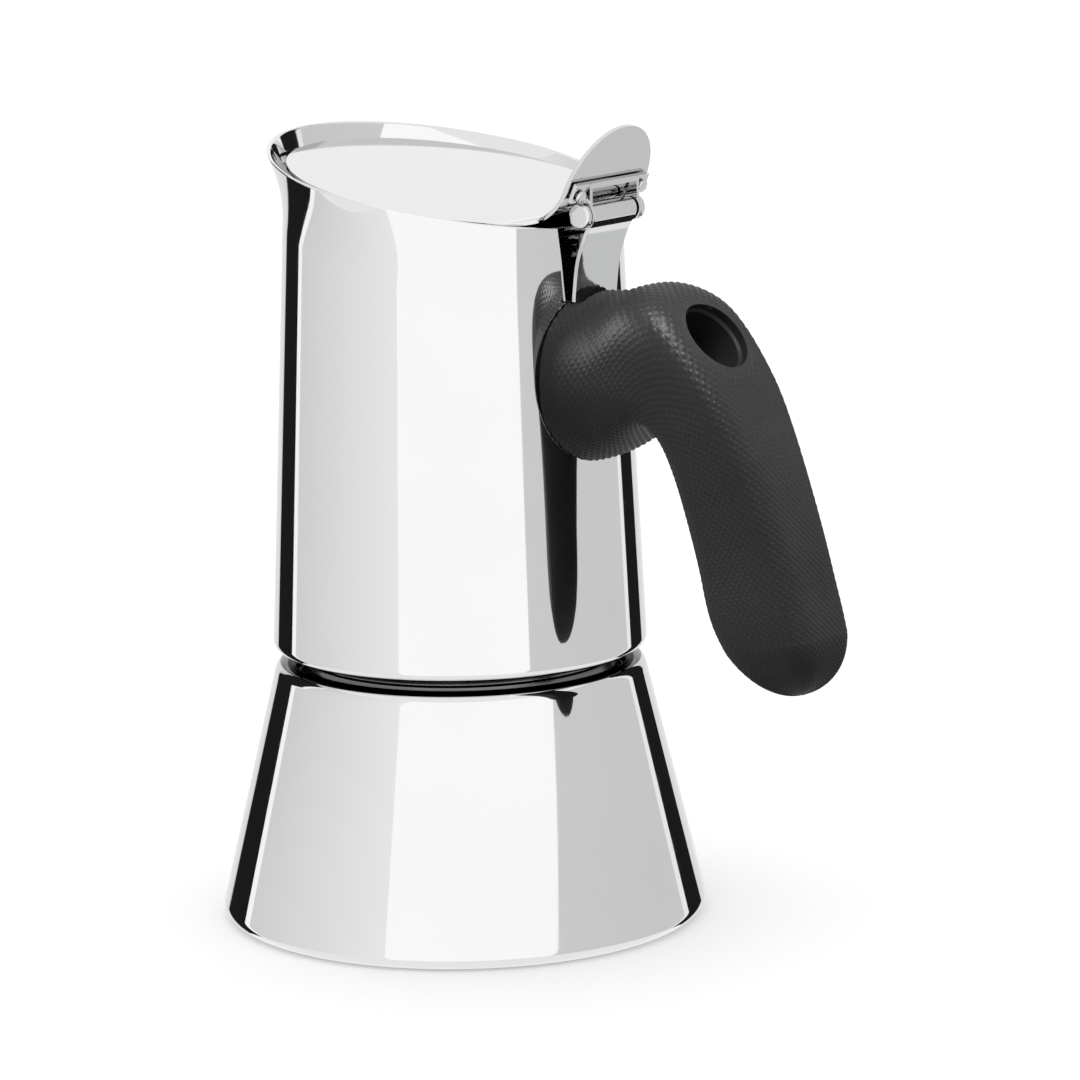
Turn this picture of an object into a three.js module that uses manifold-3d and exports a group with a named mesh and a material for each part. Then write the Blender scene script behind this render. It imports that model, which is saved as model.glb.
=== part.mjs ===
// A two-cup stove-top moka pot in polished steel, with a black moulded handle.
// Millimetres, +Z up. The origin is the centre of the base, on the surface it stands on.
// +X points to the handle and the lid hinge, and -X to the pouring side.
import * as THREE from 'three';
import { mergeVertices } from 'three/addons/utils/BufferGeometryUtils.js';
import Module from 'manifold-3d';

const wasm = await Module();
wasm.setup();

// ---- driving dimensions -------------------------------------------------------------------
const GAP = 0.3; // clearance between pieces that touch
const ROUND = 48; // sides of the large turned pieces
const MEDIUM = 24; // sides of the middle-sized turned pieces
const SMALL = 16; // sides of pins, bores and rivets

const BASE_RADIUS = 42.5; // widest radius of the boiler
const BASE_ROUND = 3.6; // rounding under the boiler's side
const CONE_ANGLE = THREE.MathUtils.degToRad(13.46); // lean of the boiler's side
const FOOT_LIFT = 0.2; // the shell clears the surface, the base disc stands on it
const DISC_RADIUS = 37.7;
const DISC_THICKNESS = 2.2;
const BOILER_WALL = 1.0;
const SHOULDER_Z = 46.4; // top of the boiler's shoulder
const SHOULDER_ROUND = 3.0;
const MOUTH_RADIUS = 25.9; // opening at the top of the boiler

const PITCH = 3.0; // screw thread between boiler and collector
const THREAD_DEPTH = 0.6;
const NECK_RADIUS = 27.3;
const NECK_TOP = 58.2;

const SKIRT_Z = 48.15; // lower edge of the collector
const SKIRT_RADIUS = 33.06; // collector's outer radius at that edge
const SKIRT_ROUND = 2.4;
const WALL_TAPER = 0.0466; // the collector's radius lost for each millimetre of height
const SHEET = 0.7; // sheet steel of collector, lid, strap and brackets
const RIM_MID_Z = 131.6; // rim height halfway between handle and pouring side
const RIM_RISE = 6.85; // the rim climbs this much towards the pouring side
const FLARE_DEPTH = 13; // the rim starts to open out this far below its edge
const FLARE_OUT = 3.6; // how far the flanks of the rim open out

const FLOOR_Z = 62.2; // underside of the collector's floor
const COLUMN_TOP = 110;
const COLUMN_RADIUS = 4.3;
const COLUMN_BORE = 3.2;

const GASKET_INNER = 21.9;
const GASKET_OUTER = 27.2;
const BASKET_RADIUS = 22.6; // inner radius of the coffee funnel
const STEM_RADIUS = 4.0;
const STEM_BORE = 3.2;
const STEM_BOTTOM = 7.5;

const VALVE_Z = 27; // height of the safety valve
const VALVE_THREAD = 3.2; // radius of the valve body where it passes the wall

const HINGE = new THREE.Vector2(33.7, 127.2); // X and Z of the lid's hinge pin
const PIN_RADIUS = 1.2;
const PIN_HEAD = 2.2;
const BARREL_RADIUS = 1.95;
const STRAP_HALF_WIDTH = 5.87;
const STRAP_THICKNESS = 0.8;

const LID_RADIUS = 28.6;
const LID_HEIGHT = 130.4; // height of the lid's upper face over the pot's axis
const LID_SLOPE = 0.18; // fall of the lid towards the handle
const TAB_HALF_WIDTH = 11.1;
const TAB_BEND = 9.6; // radius of the curl that lifts the thumb tab
const TAB_ANGLE = THREE.MathUtils.degToRad(65.6); // lean of the tab above level
const TAB_LENGTH = 11.4; // straight part of the tab above the curl

const GRIP_HOLE = new THREE.Vector2(56.2, 107.7); // where the screw's axis leaves the handle
const GRIP_HOLE_ANGLE = THREE.MathUtils.degToRad(40); // its angle above level
const POCKET_RADIUS = 6.1;
const POCKET_DEPTH = 11;
const SCREW_RADIUS = 2.0;

// ---- materials ----------------------------------------------------------------------------
const polished = () => new THREE.MeshStandardMaterial({ color: 0xe4e5e7, roughness: 0.06, metalness: 1 });
const satin = () => new THREE.MeshStandardMaterial({ color: 0xc2c3c5, roughness: 0.3, metalness: 1 });
const brass = () => new THREE.MeshStandardMaterial({ color: 0xc8a24c, roughness: 0.28, metalness: 1 });
const rubber = () => new THREE.MeshStandardMaterial({ color: 0xe6e3da, roughness: 0.6, metalness: 0 });
const nylon = () => new THREE.MeshStandardMaterial({ color: 0x161617, roughness: 0.55, metalness: 0 });

// ---- geometry helpers ---------------------------------------------------------------------
// A closed mesh with shared vertices, no empty triangles and its faces pointing out.
function closed(geometry) {
  const bare = geometry.clone();
  bare.deleteAttribute('normal');
  bare.deleteAttribute('uv');
  const merged = mergeVertices(bare, 1e-4);
  const source = merged.index.array;
  const kept = [];
  for (let i = 0; i < source.length; i += 3) {
    const [a, b, c] = [source[i], source[i + 1], source[i + 2]];
    if (a !== b && b !== c && c !== a) kept.push(a, b, c);
  }
  const result = new THREE.BufferGeometry();
  result.setAttribute('position', merged.getAttribute('position'));
  result.setIndex(volume(merged.getAttribute('position'), kept) < 0 ? kept.reverse() : kept);
  return result;
}

function volume(position, index) {
  const corner = [new THREE.Vector3(), new THREE.Vector3(), new THREE.Vector3()];
  let total = 0;
  for (let i = 0; i < index.length; i += 3) {
    corner.forEach((point, k) => point.fromBufferAttribute(position, index[i + k]));
    total += corner[0].dot(corner[1].clone().cross(corner[2])) / 6;
  }
  return total;
}

function toSolid(geometry) {
  const mesh = closed(geometry);
  return new wasm.Manifold(new wasm.Mesh({
    numProp: 3,
    vertProperties: new Float32Array(mesh.getAttribute('position').array),
    triVerts: new Uint32Array(mesh.index.array),
  }));
}

function toGeometry(solid) {
  const mesh = solid.getMesh();
  const geometry = new THREE.BufferGeometry();
  geometry.setAttribute('position', new THREE.BufferAttribute(new Float32Array(mesh.vertProperties), 3));
  geometry.setIndex(new THREE.BufferAttribute(new Uint32Array(mesh.triVerts), 1));
  return geometry;
}

function cut(geometry, ...tools) {
  return toGeometry(tools.reduce((solid, tool) => solid.subtract(toSolid(tool)), toSolid(geometry)));
}

function join(geometry, ...others) {
  return toGeometry(others.reduce((solid, other) => solid.add(toSolid(other)), toSolid(geometry)));
}

// A profile of [radius, height] pairs turned round the Z axis.
function turned(profile, sides = ROUND) {
  const points = profile.map(([radius, height]) => new THREE.Vector2(radius, height));
  return new THREE.LatheGeometry(points, sides).rotateX(Math.PI / 2);
}

// The same, closed on itself, for a ring or a tube.
const ring = (profile, sides) => turned([...profile, profile[0]], sides);

const tube = (inner, outer, bottom, top, sides) =>
  ring([[inner, bottom], [outer, bottom], [outer, top], [inner, top]], sides);

const rod = (radius, bottom, top, sides) =>
  turned([[0, bottom], [radius, bottom], [radius, top], [0, top]], sides);

// Points of an arc in a profile, its angles in radians.
function arc(centre, radius, from, to, steps = 5) {
  return Array.from({ length: steps + 1 }, (_, i) => {
    const angle = from + ((to - from) * i) / steps;
    return [centre[0] + radius * Math.cos(angle), centre[1] + radius * Math.sin(angle)];
  });
}

// An outline of [x, z] pairs, extruded to both sides of the XZ plane.
function slab(outline, halfWidth) {
  const shape = new THREE.Shape(outline.map(([x, z]) => new THREE.Vector2(x, z)));
  const settings = { depth: 2 * halfWidth, bevelEnabled: false };
  return new THREE.ExtrudeGeometry(shape, settings).translate(0, 0, -halfWidth).rotateX(Math.PI / 2);
}

// Moves every vertex of a geometry: change(point) edits a THREE.Vector3.
function reshape(geometry, change) {
  const position = geometry.getAttribute('position');
  const point = new THREE.Vector3();
  for (let i = 0; i < position.count; i += 1) {
    change(point.fromBufferAttribute(position, i));
    position.setXYZ(i, point.x, point.y, point.z);
  }
  return geometry;
}

// A shape built round Z is laid along the handle screw's axis, its zero where the axis leaves.
const alongScrew = (geometry) =>
  geometry.rotateY(Math.PI / 2 - GRIP_HOLE_ANGLE).translate(GRIP_HOLE.x, 0, GRIP_HOLE.y);

// A shape built round Z is laid along the safety valve's axis, its zero on the boiler's side.
const onValve = (geometry) =>
  geometry.rotateX(CONE_ANGLE - Math.PI / 2).translate(0, coneRadius(VALVE_Z), VALVE_Z);

// ---- curves of the pot's body -------------------------------------------------------------
const coneRadius = (z) => {
  const start = FOOT_LIFT + BASE_ROUND * (1 + Math.sin(CONE_ANGLE));
  return BASE_RADIUS - BASE_ROUND * (1 - Math.cos(CONE_ANGLE)) - (z - start) * Math.tan(CONE_ANGLE);
};

const wallRadius = (z) => SKIRT_RADIUS - WALL_TAPER * (z - SKIRT_Z);

// pour is 1 on the pouring side and -1 at the handle.
const rimHeight = (pour) => RIM_MID_Z + RIM_RISE * pour;

function flare(pour, z) {
  const side = (pour + 1) / 2;
  const widest = 0.4 + FLARE_OUT * THREE.MathUtils.smoothstep(side, 0.08, 0.6)
    - 1.1 * THREE.MathUtils.smoothstep(side, 0.6, 1);
  const climb = THREE.MathUtils.clamp(1 - (rimHeight(pour) - z) / FLARE_DEPTH, 0, 1);
  return widest * climb ** 2;
}

// ---- boiler -------------------------------------------------------------------------------
function boilerShell() {
  const footCentre = [BASE_RADIUS - BASE_ROUND, FOOT_LIFT + BASE_ROUND];
  const shoulderZ = SHOULDER_Z - SHOULDER_ROUND;
  const shoulderStart = shoulderZ + SHOULDER_ROUND * Math.sin(CONE_ANGLE);
  const shoulderCentre = [coneRadius(shoulderStart) - SHOULDER_ROUND * Math.cos(CONE_ANGLE), shoulderZ];
  const recess = DISC_THICKNESS + GAP;
  const floor = recess + BOILER_WALL;
  const inside = BOILER_WALL / Math.cos(CONE_ANGLE);
  const shell = turned([
    [0, recess],
    [DISC_RADIUS + GAP, recess],
    [DISC_RADIUS + GAP, FOOT_LIFT + 0.3],
    ...arc(footCentre, BASE_ROUND, -Math.PI / 2, CONE_ANGLE, 5),
    ...arc(shoulderCentre, SHOULDER_ROUND, CONE_ANGLE, Math.PI / 2, 4),
    [MOUTH_RADIUS, SHOULDER_Z],
    ...arc(shoulderCentre, SHOULDER_ROUND - BOILER_WALL, Math.PI / 2, CONE_ANGLE, 2),
    [coneRadius(floor + 2) - inside, floor + 2],
    [coneRadius(floor) - inside - 1.6, floor],
    [0, floor],
  ]);
  return cut(shell, onValve(rod(VALVE_THREAD + GAP, -6, 6, MEDIUM)));
}

function baseDisc() {
  return turned([
    [0, 0],
    [DISC_RADIUS - 0.5, 0],
    [DISC_RADIUS, 0.5],
    [DISC_RADIUS, DISC_THICKNESS],
    [0, DISC_THICKNESS],
  ]);
}

// Height of the thread's ridge, one ridge for each whole turn.
const ridge = (turn) => THREAD_DEPTH * (0.5 + 0.5 * Math.cos(2 * Math.PI * turn));

// A tube whose outer or inner face carries one helical ridge.
function threadedTube({ inner, outer, bottom, top, sides, ridgeOutside }) {
  const rows = Math.round((top - bottom) / (PITCH / 3));
  const threaded = ridgeOutside ? outer : inner;
  const plain = ridgeOutside ? inner : outer;
  const face = Array.from({ length: rows + 1 }, (_, i) => [threaded, bottom + ((top - bottom) * i) / rows]);
  const geometry = ring([[plain, top], [plain, bottom], ...face], sides);
  return reshape(geometry, (point) => {
    const radius = Math.hypot(point.x, point.y);
    const inset = Math.min(point.z - bottom, top - point.z);
    if (Math.abs(radius - threaded) > 0.05 || inset < 0.5) return;
    const turn = Math.atan2(point.y, point.x) / (2 * Math.PI) - point.z / PITCH;
    const height = ridge(turn) * Math.min(1, inset / PITCH);
    const scale = (radius + (ridgeOutside ? height : -height)) / radius;
    point.x *= scale;
    point.y *= scale;
  });
}

function neckRing() {
  return threadedTube({
    inner: MOUTH_RADIUS,
    outer: NECK_RADIUS,
    bottom: SHOULDER_Z + GAP,
    top: NECK_TOP,
    sides: ROUND,
    ridgeOutside: true,
  });
}

// ---- safety valve, built round Z with the boiler's wall face at zero, outwards up ---------
const VALVE_SEAT = 4.4; // the hollow of the valve body starts here
const VALVE_END = 8.2;

function valveBody() {
  const shank = 9.5; // reaches this far into the boiler
  const sleeve = ring([
    [1.2, -shank],
    [VALVE_THREAD, -shank],
    [VALVE_THREAD, GAP],
    [5.4, GAP],
    [5.4, 1.5],
    [4.6, 1.9],
    [4.6, VALVE_END],
    [3.2, VALVE_END],
    [3.2, -1.5],
    [1.2, -2.3],
  ], 24);
  const flats = Array.from({ length: 2 }, (_, i) =>
    new THREE.BoxGeometry(4, 14, 4.2).translate(i ? 6.0 : -6.0, 0, VALVE_SEAT));
  return cut(sleeve, ...flats);
}

const valveWasher = () => tube(VALVE_THREAD + GAP, 5.6, -2.7, -1.8, MEDIUM);

function valveNut() {
  const hexagon = rod(6.2, -6.0, -3.0, 6);
  return cut(hexagon, rod(VALVE_THREAD + GAP, -7, -2, MEDIUM));
}

function valvePlunger() {
  return turned([
    [0, -1.2],
    [1.3, -1.0],
    [2.7, 0.5],
    [2.7, 1.3],
    [1.0, 1.3],
    [1.0, 8.6],
    [0.8, 9.2],
    [0, 9.2],
  ], SMALL);
}

// A closed coil between the plunger's collar and the retainer.
function valveSpring() {
  const coils = 3.5;
  const [low, high, radius, wire] = [2.5, 5.9, 1.95, 0.32];
  class Coil extends THREE.Curve {
    getPoint(t, target = new THREE.Vector3()) {
      const angle = 2 * Math.PI * coils * t;
      return target.set(radius * Math.cos(angle), radius * Math.sin(angle), low + (high - low) * t);
    }
  }
  const section = new THREE.Shape(new THREE.Path().absarc(0, 0, wire, 0, 2 * Math.PI).getPoints(3));
  return new THREE.ExtrudeGeometry(section, { steps: 36, extrudePath: new Coil(), bevelEnabled: false });
}

const valveRetainer = () => tube(1.4, 2.8, 6.6, 7.7, SMALL);

// ---- coffee funnel ------------------------------------------------------------------------
function funnelBasket() {
  const t = 0.6;
  return ring([
    [26.9, NECK_TOP + GAP],
    [26.9, NECK_TOP + GAP + t],
    [BASKET_RADIUS + 0.4, NECK_TOP + GAP + t],
    [BASKET_RADIUS, NECK_TOP + GAP - 0.2],
    [BASKET_RADIUS - 0.3, 37.6],
    [BASKET_RADIUS - 1.6, 37.0],
    [6.5, 30.4],
    [STEM_RADIUS + GAP, 29.4],
    [STEM_RADIUS + GAP, 26.5],
    [STEM_RADIUS + GAP + t, 26.5],
    [STEM_RADIUS + GAP + t, 29.0],
    [6.8, 29.8],
    [BASKET_RADIUS - 1.3, 36.3],
    [BASKET_RADIUS + 0.4, 37.3],
    [BASKET_RADIUS + 0.7, NECK_TOP + GAP - 0.6],
    [BASKET_RADIUS + 1.2, NECK_TOP + GAP],
  ], 36);
}

const funnelStem = () => tube(STEM_BORE, STEM_RADIUS, STEM_BOTTOM, 29.2, 24);

// A round plate with rings of holes.
function perforatedPlate(radius, bottom, thickness, hole, rings, spacing) {
  const circle = (x, y, size, divisions) =>
    new THREE.Path().absarc(x, y, size, 0, 2 * Math.PI).getPoints(divisions);
  const disc = new THREE.Shape(circle(0, 0, radius, MEDIUM));
  for (let layer = 1; layer <= rings; layer += 1) {
    const count = 6 * layer;
    for (let i = 0; i < count; i += 1) {
      const angle = (2 * Math.PI * i) / count;
      const x = spacing * layer * Math.cos(angle);
      const y = spacing * layer * Math.sin(angle);
      disc.holes.push(new THREE.Path(circle(x, y, hole, 3)));
    }
  }
  return new THREE.ExtrudeGeometry(disc, { depth: thickness, bevelEnabled: false }).translate(0, 0, bottom);
}

const funnelScreen = () => perforatedPlate(21.7, 38.0, 0.6, 1.0, 3, 5.6);
const filterPlate = () => perforatedPlate(GASKET_INNER - 0.4, 60.4, 0.8, 0.9, 3, 5.4);

function gasket() {
  return ring([
    [GASKET_INNER, 59.5],
    [GASKET_OUTER - 0.4, 59.5],
    [GASKET_OUTER, 59.9],
    [GASKET_OUTER, 61.5],
    [GASKET_OUTER - 0.4, 61.9],
    [GASKET_INNER, 61.9],
  ], 36);
}

// ---- collector ----------------------------------------------------------------------------
// The wall is turned with a level rim, then its upper part is drawn to the slanted, flared rim.
function collectorShell() {
  const plainTop = 110;
  const rows = 6;
  const inner = (z) => wallRadius(z) - SHEET;
  const skirtCentre = [SKIRT_RADIUS - SKIRT_ROUND, SKIRT_Z + SKIRT_ROUND];
  const climb = Array.from({ length: rows + 1 }, (_, i) => plainTop + (RIM_MID_Z - plainTop) * (i / rows));
  const shell = ring([
    [29.3, SKIRT_Z + SHEET],
    [29.3, SKIRT_Z],
    ...arc(skirtCentre, SKIRT_ROUND, -Math.PI / 2, 0, 4),
    ...climb.map((z) => [wallRadius(z), z]),
    ...climb.reverse().map((z) => [inner(z), z]),
    ...arc(skirtCentre, SKIRT_ROUND - SHEET, 0, -Math.PI / 2, 2),
  ], ROUND);
  return reshape(shell, (point) => {
    if (point.z < plainTop + 1e-3) return;
    const radius = Math.hypot(point.x, point.y);
    const pour = -point.x / radius;
    const z = plainTop + ((point.z - plainTop) * (rimHeight(pour) - plainTop)) / (RIM_MID_Z - plainTop);
    const isInner = radius < wallRadius(point.z) - SHEET / 2;
    const target = wallRadius(z) - (isInner ? SHEET : 0) + flare(pour, z);
    point.set((point.x * target) / radius, (point.y * target) / radius, z);
  });
}

function threadRing() {
  const outer = 31.3;
  const inner = NECK_RADIUS + 2 * THREAD_DEPTH + 0.4;
  const lower = threadedTube({
    inner,
    outer,
    bottom: SKIRT_Z + SHEET + 0.8,
    top: 58.9,
    sides: ROUND,
    ridgeOutside: false,
  });
  return join(lower, tube(GASKET_OUTER + 0.4, outer, 58.6, FLOOR_Z - GAP, ROUND));
}

function collectorFloor() {
  return ring([
    [COLUMN_RADIUS + GAP, FLOOR_Z],
    [31.3, FLOOR_Z],
    [31.3, FLOOR_Z + 0.8],
    [COLUMN_RADIUS + GAP, FLOOR_Z + 0.8],
  ], ROUND);
}

function coffeeColumn() {
  const foot = FLOOR_Z + 0.8 + GAP;
  return ring([
    [COLUMN_BORE, FLOOR_Z - 0.2],
    [COLUMN_RADIUS, FLOOR_Z - 0.2],
    [COLUMN_RADIUS, foot],
    [7.0, foot],
    [7.0, foot + 0.7],
    [5.6, foot + 1.2],
    [COLUMN_RADIUS, foot + 12],
    [COLUMN_RADIUS, COLUMN_TOP],
    [COLUMN_BORE, COLUMN_TOP],
  ], MEDIUM);
}

function columnCap() {
  const sleeve = COLUMN_RADIUS + GAP;
  const dome = turned([
    [0, 115],
    [2.6, 114.6],
    [4.6, 113.2],
    [5.5, 111.6],
    [5.5, 100],
    [sleeve, 100],
    [sleeve, 112.2],
    [2.4, 113.6],
    [0, 113.8],
  ], MEDIUM);
  return cut(dome, new THREE.BoxGeometry(14, 4.4, 2.4).translate(0, 0, 110.3));
}

// ---- hinge strap on the collector ---------------------------------------------------------
function hingeStrap() {
  const back = wallRadius(112) + GAP;
  const front = back + STRAP_THICKNESS;
  const sheet = slab([
    [back, 112.0],
    [front, 112.0],
    [front + 0.05, 113.6],
    [31.95, 118.6],
    [33.2, 122.3],
    [34.4, 124.9],
    [HINGE.x + 1.75, HINGE.y - 0.6],
    [HINGE.x + 0.6, HINGE.y - 0.9],
    [33.6, 125.1],
    [32.45, 122.6],
    [31.15, 118.8],
    [back + 0.05, 113.7],
  ], STRAP_HALF_WIDTH);
  const across = (geometry) => geometry.rotateX(Math.PI / 2).translate(HINGE.x, 0, HINGE.y);
  const barrel = across(rod(BARREL_RADIUS, -STRAP_HALF_WIDTH, STRAP_HALF_WIDTH, 24));
  const bore = across(rod(PIN_RADIUS + GAP, -9, 9, SMALL));
  return cut(join(sheet, barrel), bore);
}

function hingePin() {
  const headAt = 7.3;
  const tip = headAt + 0.95;
  const side = [[PIN_RADIUS, headAt], [PIN_HEAD, headAt], [PIN_HEAD * 0.96, headAt + 0.35], [1.5, tip - 0.14]];
  const mirrored = side.map(([radius, along]) => [radius, -along]).reverse();
  const profile = [[0, -tip], ...mirrored, ...side, [0, tip]];
  return turned(profile, SMALL).rotateX(Math.PI / 2).translate(HINGE.x, 0, HINGE.y);
}

// ---- lid ----------------------------------------------------------------------------------
// The lid's upper face along its middle line, from the pouring side to the tab's tip.
function lidLine() {
  const fall = Math.atan(LID_SLOPE);
  const turn = TAB_ANGLE + fall;
  const start = new THREE.Vector2(22.5, LID_HEIGHT - LID_SLOPE * 22.5);
  const centre = new THREE.Vector2(start.x + TAB_BEND * Math.sin(fall), start.y + TAB_BEND * Math.cos(fall));
  const curl = arc([centre.x, centre.y], TAB_BEND, -Math.PI / 2 - fall, -Math.PI / 2 - fall + turn, 8);
  const [endX, endZ] = curl.at(-1);
  const tip = [endX + TAB_LENGTH * Math.cos(TAB_ANGLE), endZ + TAB_LENGTH * Math.sin(TAB_ANGLE)];
  return { curl, tip, end: [endX, endZ] };
}

// The tab: a strip that follows the curl, with a rounded end.
function tabStrip() {
  const { curl, tip, end } = lidLine();
  const straightSteps = 10;
  const line = [[curl[0][0] - 6, curl[0][1] + 6 * LID_SLOPE], ...curl];
  for (let i = 1; i <= straightSteps; i += 1) {
    const t = Math.sin((i / straightSteps) * (Math.PI / 2));
    line.push([end[0] + (tip[0] - end[0]) * t, end[1] + (tip[1] - end[1]) * t]);
  }
  const path = line.map(([x, z]) => new THREE.Vector2(x, z));
  const last = path.length - 1;
  const across = 12;
  const grid = new THREE.BoxGeometry(last, 2, 1, last, across, 1);
  return reshape(grid, (point) => {
    const row = Math.round(point.x + last / 2);
    const ahead = path[Math.min(row + 1, last)].clone().sub(path[Math.max(row - 1, 0)]).normalize();
    const under = point.z < 0 ? SHEET : 0;
    const reach = THREE.MathUtils.clamp((row - (last - straightSteps)) / straightSteps, 0, 1);
    const half = TAB_HALF_WIDTH * Math.cos((reach * Math.PI) / 2);
    const x = path[row].x + ahead.y * under;
    const z = path[row].y - ahead.x * under;
    point.set(x, point.y * half, z);
  });
}

function lid() {
  const flat = rod(LID_RADIUS, -SHEET, 0, ROUND);
  const plate = reshape(flat, (point) => {
    point.z += LID_HEIGHT - LID_SLOPE * point.x;
  });
  const rootX = 23.0;
  const behind = new THREE.BoxGeometry(20, 2 * TAB_HALF_WIDTH, 40).translate(rootX + 10, 0, LID_HEIGHT);
  return join(cut(plate, behind), tabStrip());
}

// The bracket lies on the tab's back and reaches down to the pin with two ears.
const TAB_NORMAL = new THREE.Vector2(Math.sin(TAB_ANGLE), -Math.cos(TAB_ANGLE));

// A point of the tab's back: a distance up from the curl's end, and one off the face.
function onTabBack(up, off) {
  const { end } = lidLine();
  const x = end[0] + up * Math.cos(TAB_ANGLE) + (SHEET + off) * TAB_NORMAL.x;
  const z = end[1] + up * Math.sin(TAB_ANGLE) + (SHEET + off) * TAB_NORMAL.y;
  return [x, z];
}

const RIVET_HEIGHT = -0.3;
const RIVET_SIDE = 8.6;
const RIVET_SHANK = 0.6;
const RIVET_HEAD = 1.15;

function lidBracket() {
  const earInner = STRAP_HALF_WIDTH + GAP + 0.05;
  const low = -1.7;
  const high = 1.7;
  const sheet = (from, to, halfWidth, extra) => slab([
    onTabBack(from, GAP - extra),
    onTabBack(from, GAP + SHEET + extra),
    onTabBack(to, GAP + SHEET + extra),
    onTabBack(to, GAP - extra),
  ], halfWidth);
  const plate = cut(sheet(low, high, 10.2, 0), sheet(low - 1, 0.6, earInner, 0.2));
  const eye = arc([HINGE.x, HINGE.y], 2.2, -0.9 * Math.PI, 0.22 * Math.PI, 12);
  const ear = slab([
    ...eye,
    onTabBack(high, GAP + SHEET + 0.2),
    onTabBack(high, GAP + 0.1),
    onTabBack(low - 0.2, GAP + 0.1),
  ], earInner + SHEET);
  const middle = slab([[20, 100], [50, 100], [50, 150], [20, 150]], earInner);
  const bore = rod(PIN_RADIUS + GAP, -12, 12, SMALL).rotateX(Math.PI / 2).translate(HINGE.x, 0, HINGE.y);
  const holes = [-1, 1].map((side) => onBracket(rod(RIVET_SHANK + GAP, -3, 3, SMALL), side));
  return cut(join(cut(ear, middle), plate), bore, ...holes);
}

// Lays a shape built round Z on the tab's back, at the rivet on one side.
function onBracket(geometry, side) {
  const [x, z] = onTabBack(RIVET_HEIGHT, GAP);
  return geometry.rotateY(Math.PI / 2 + (Math.PI / 2 - TAB_ANGLE)).translate(x, side * RIVET_SIDE, z);
}

function lidRivet(side) {
  const seat = SHEET + GAP;
  const head = [[RIVET_SHANK, seat], [RIVET_HEAD, seat], [RIVET_HEAD - 0.15, seat + 0.35], [0, seat + 0.55]];
  return onBracket(turned([[0, 0.1], [RIVET_SHANK, 0.1], ...head], SMALL), side);
}

// ---- handle -------------------------------------------------------------------------------
// Sections from the wall to the tip: inner X and Z, outer X and Z, half-width.
const HANDLE_SECTIONS = [
  [24.0, 84.0, 24.0, 113.3, 13.0],
  [31.0, 84.2, 31.0, 113.4, 13.0],
  [37.5, 86.3, 37.7, 113.9, 12.9],
  [42.3, 89.7, 44.5, 115.5, 12.9],
  [45.8, 92.0, 51.2, 113.2, 12.6],
  [48.6, 92.1, 56.6, 107.8, 12.0],
  [51.0, 89.3, 62.6, 99.8, 11.2],
  [52.9, 84.2, 66.9, 91.9, 10.3],
  [54.7, 77.5, 71.1, 82.1, 9.5],
  [57.0, 68.6, 74.5, 72.8, 9.0],
  [58.7, 60.0, 77.2, 63.9, 8.8],
];
const HANDLE_TIP = 14.5; // length of the rounded end past the last section
const TIP_SKEW = 0.26; // the end leans outwards by this share of its length
const TIP_CLOSING = 2.06; // superellipse power of the end's outline
const SQUARE_SIDE = 4.4; // superellipse power of the grip's section
const ROUND_SIDE = 2.1; // the same where the handle meets the pot
const WIDEST = [0.5, 0.415]; // the widest place of the first and last section, from the inside

function handleBlank() {
  const last = HANDLE_SECTIONS.length - 1;
  const curve = (a, b) => new THREE.SplineCurve(HANDLE_SECTIONS.map((row) => new THREE.Vector2(row[a], row[b])));
  const [inside, outside, width] = [curve(0, 1), curve(2, 3), curve(4, 4)];
  const bodySteps = 20;
  const tipSteps = 6;
  const steps = bodySteps + tipSteps;
  const geometry = new THREE.CylinderGeometry(1, 1, 1, 24, steps);
  return reshape(geometry, (point) => {
    const row = Math.round((0.5 - point.y) * steps);
    const along = Math.min(row / bodySteps, 1);
    const ahead = Math.sin((Math.max(row - bodySteps, 0) / tipSteps) * (Math.PI / 2));
    const start = inside.getPoint(along);
    const across = outside.getPoint(along).sub(start);
    const depth = across.length();
    across.normalize();
    const middle = THREE.MathUtils.lerp(WIDEST[0], WIDEST[1], along) * depth;
    const closing = Math.hypot(point.x, point.z) * Math.sqrt(1 - ahead ** TIP_CLOSING);
    const angle = Math.atan2(point.x, point.z);
    const squareness = THREE.MathUtils.clamp((along * last - 2) / 3, 0, 1);
    const power = 2 / THREE.MathUtils.lerp(ROUND_SIDE, SQUARE_SIDE, squareness);
    const bend = (value) => Math.sign(value) * Math.abs(value) ** power;
    const reach = Math.cos(angle) < 0 ? middle : depth - middle;
    const out = middle + closing * reach * bend(Math.cos(angle)) + TIP_SKEW * HANDLE_TIP * ahead;
    const side = closing * width.getPoint(along).x * bend(Math.sin(angle));
    const x = start.x + out * across.x + HANDLE_TIP * ahead * across.y;
    const z = start.y + out * across.y - HANDLE_TIP * ahead * across.x;
    point.set(x, side, z);
  });
}

const TONGUE = { from: 31.6, to: 44.0, low: 92.9, high: 101.4, halfWidth: 4.5 };
const PAD = { low: 87.5, high: 110.2, halfWidth: 6.0, thickness: 1.2 };

function tongueBlock(clearance) {
  const { from, to, low, high, halfWidth } = TONGUE;
  const [l, h, end] = [low - clearance, high + clearance, to + clearance];
  return slab([[from, l], [end, l], [end, h], [from, h]], halfWidth + clearance);
}

// A band of the wall's cone between two heights, cut to the pad's width.
function padBlock(clearance) {
  const low = PAD.low - clearance;
  const high = PAD.high + clearance;
  const near = (z) => wallRadius(z) + (clearance ? 0 : GAP);
  const far = (z) => wallRadius(z) + GAP + PAD.thickness + clearance;
  const band = ring([[near(low), low], [far(low), low], [far(high), high], [near(high), high]], ROUND);
  const window = new THREE.BoxGeometry(40, 2 * (PAD.halfWidth + clearance), 60).translate(40, 0, 100);
  return toGeometry(toSolid(band).intersect(toSolid(window)));
}

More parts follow.
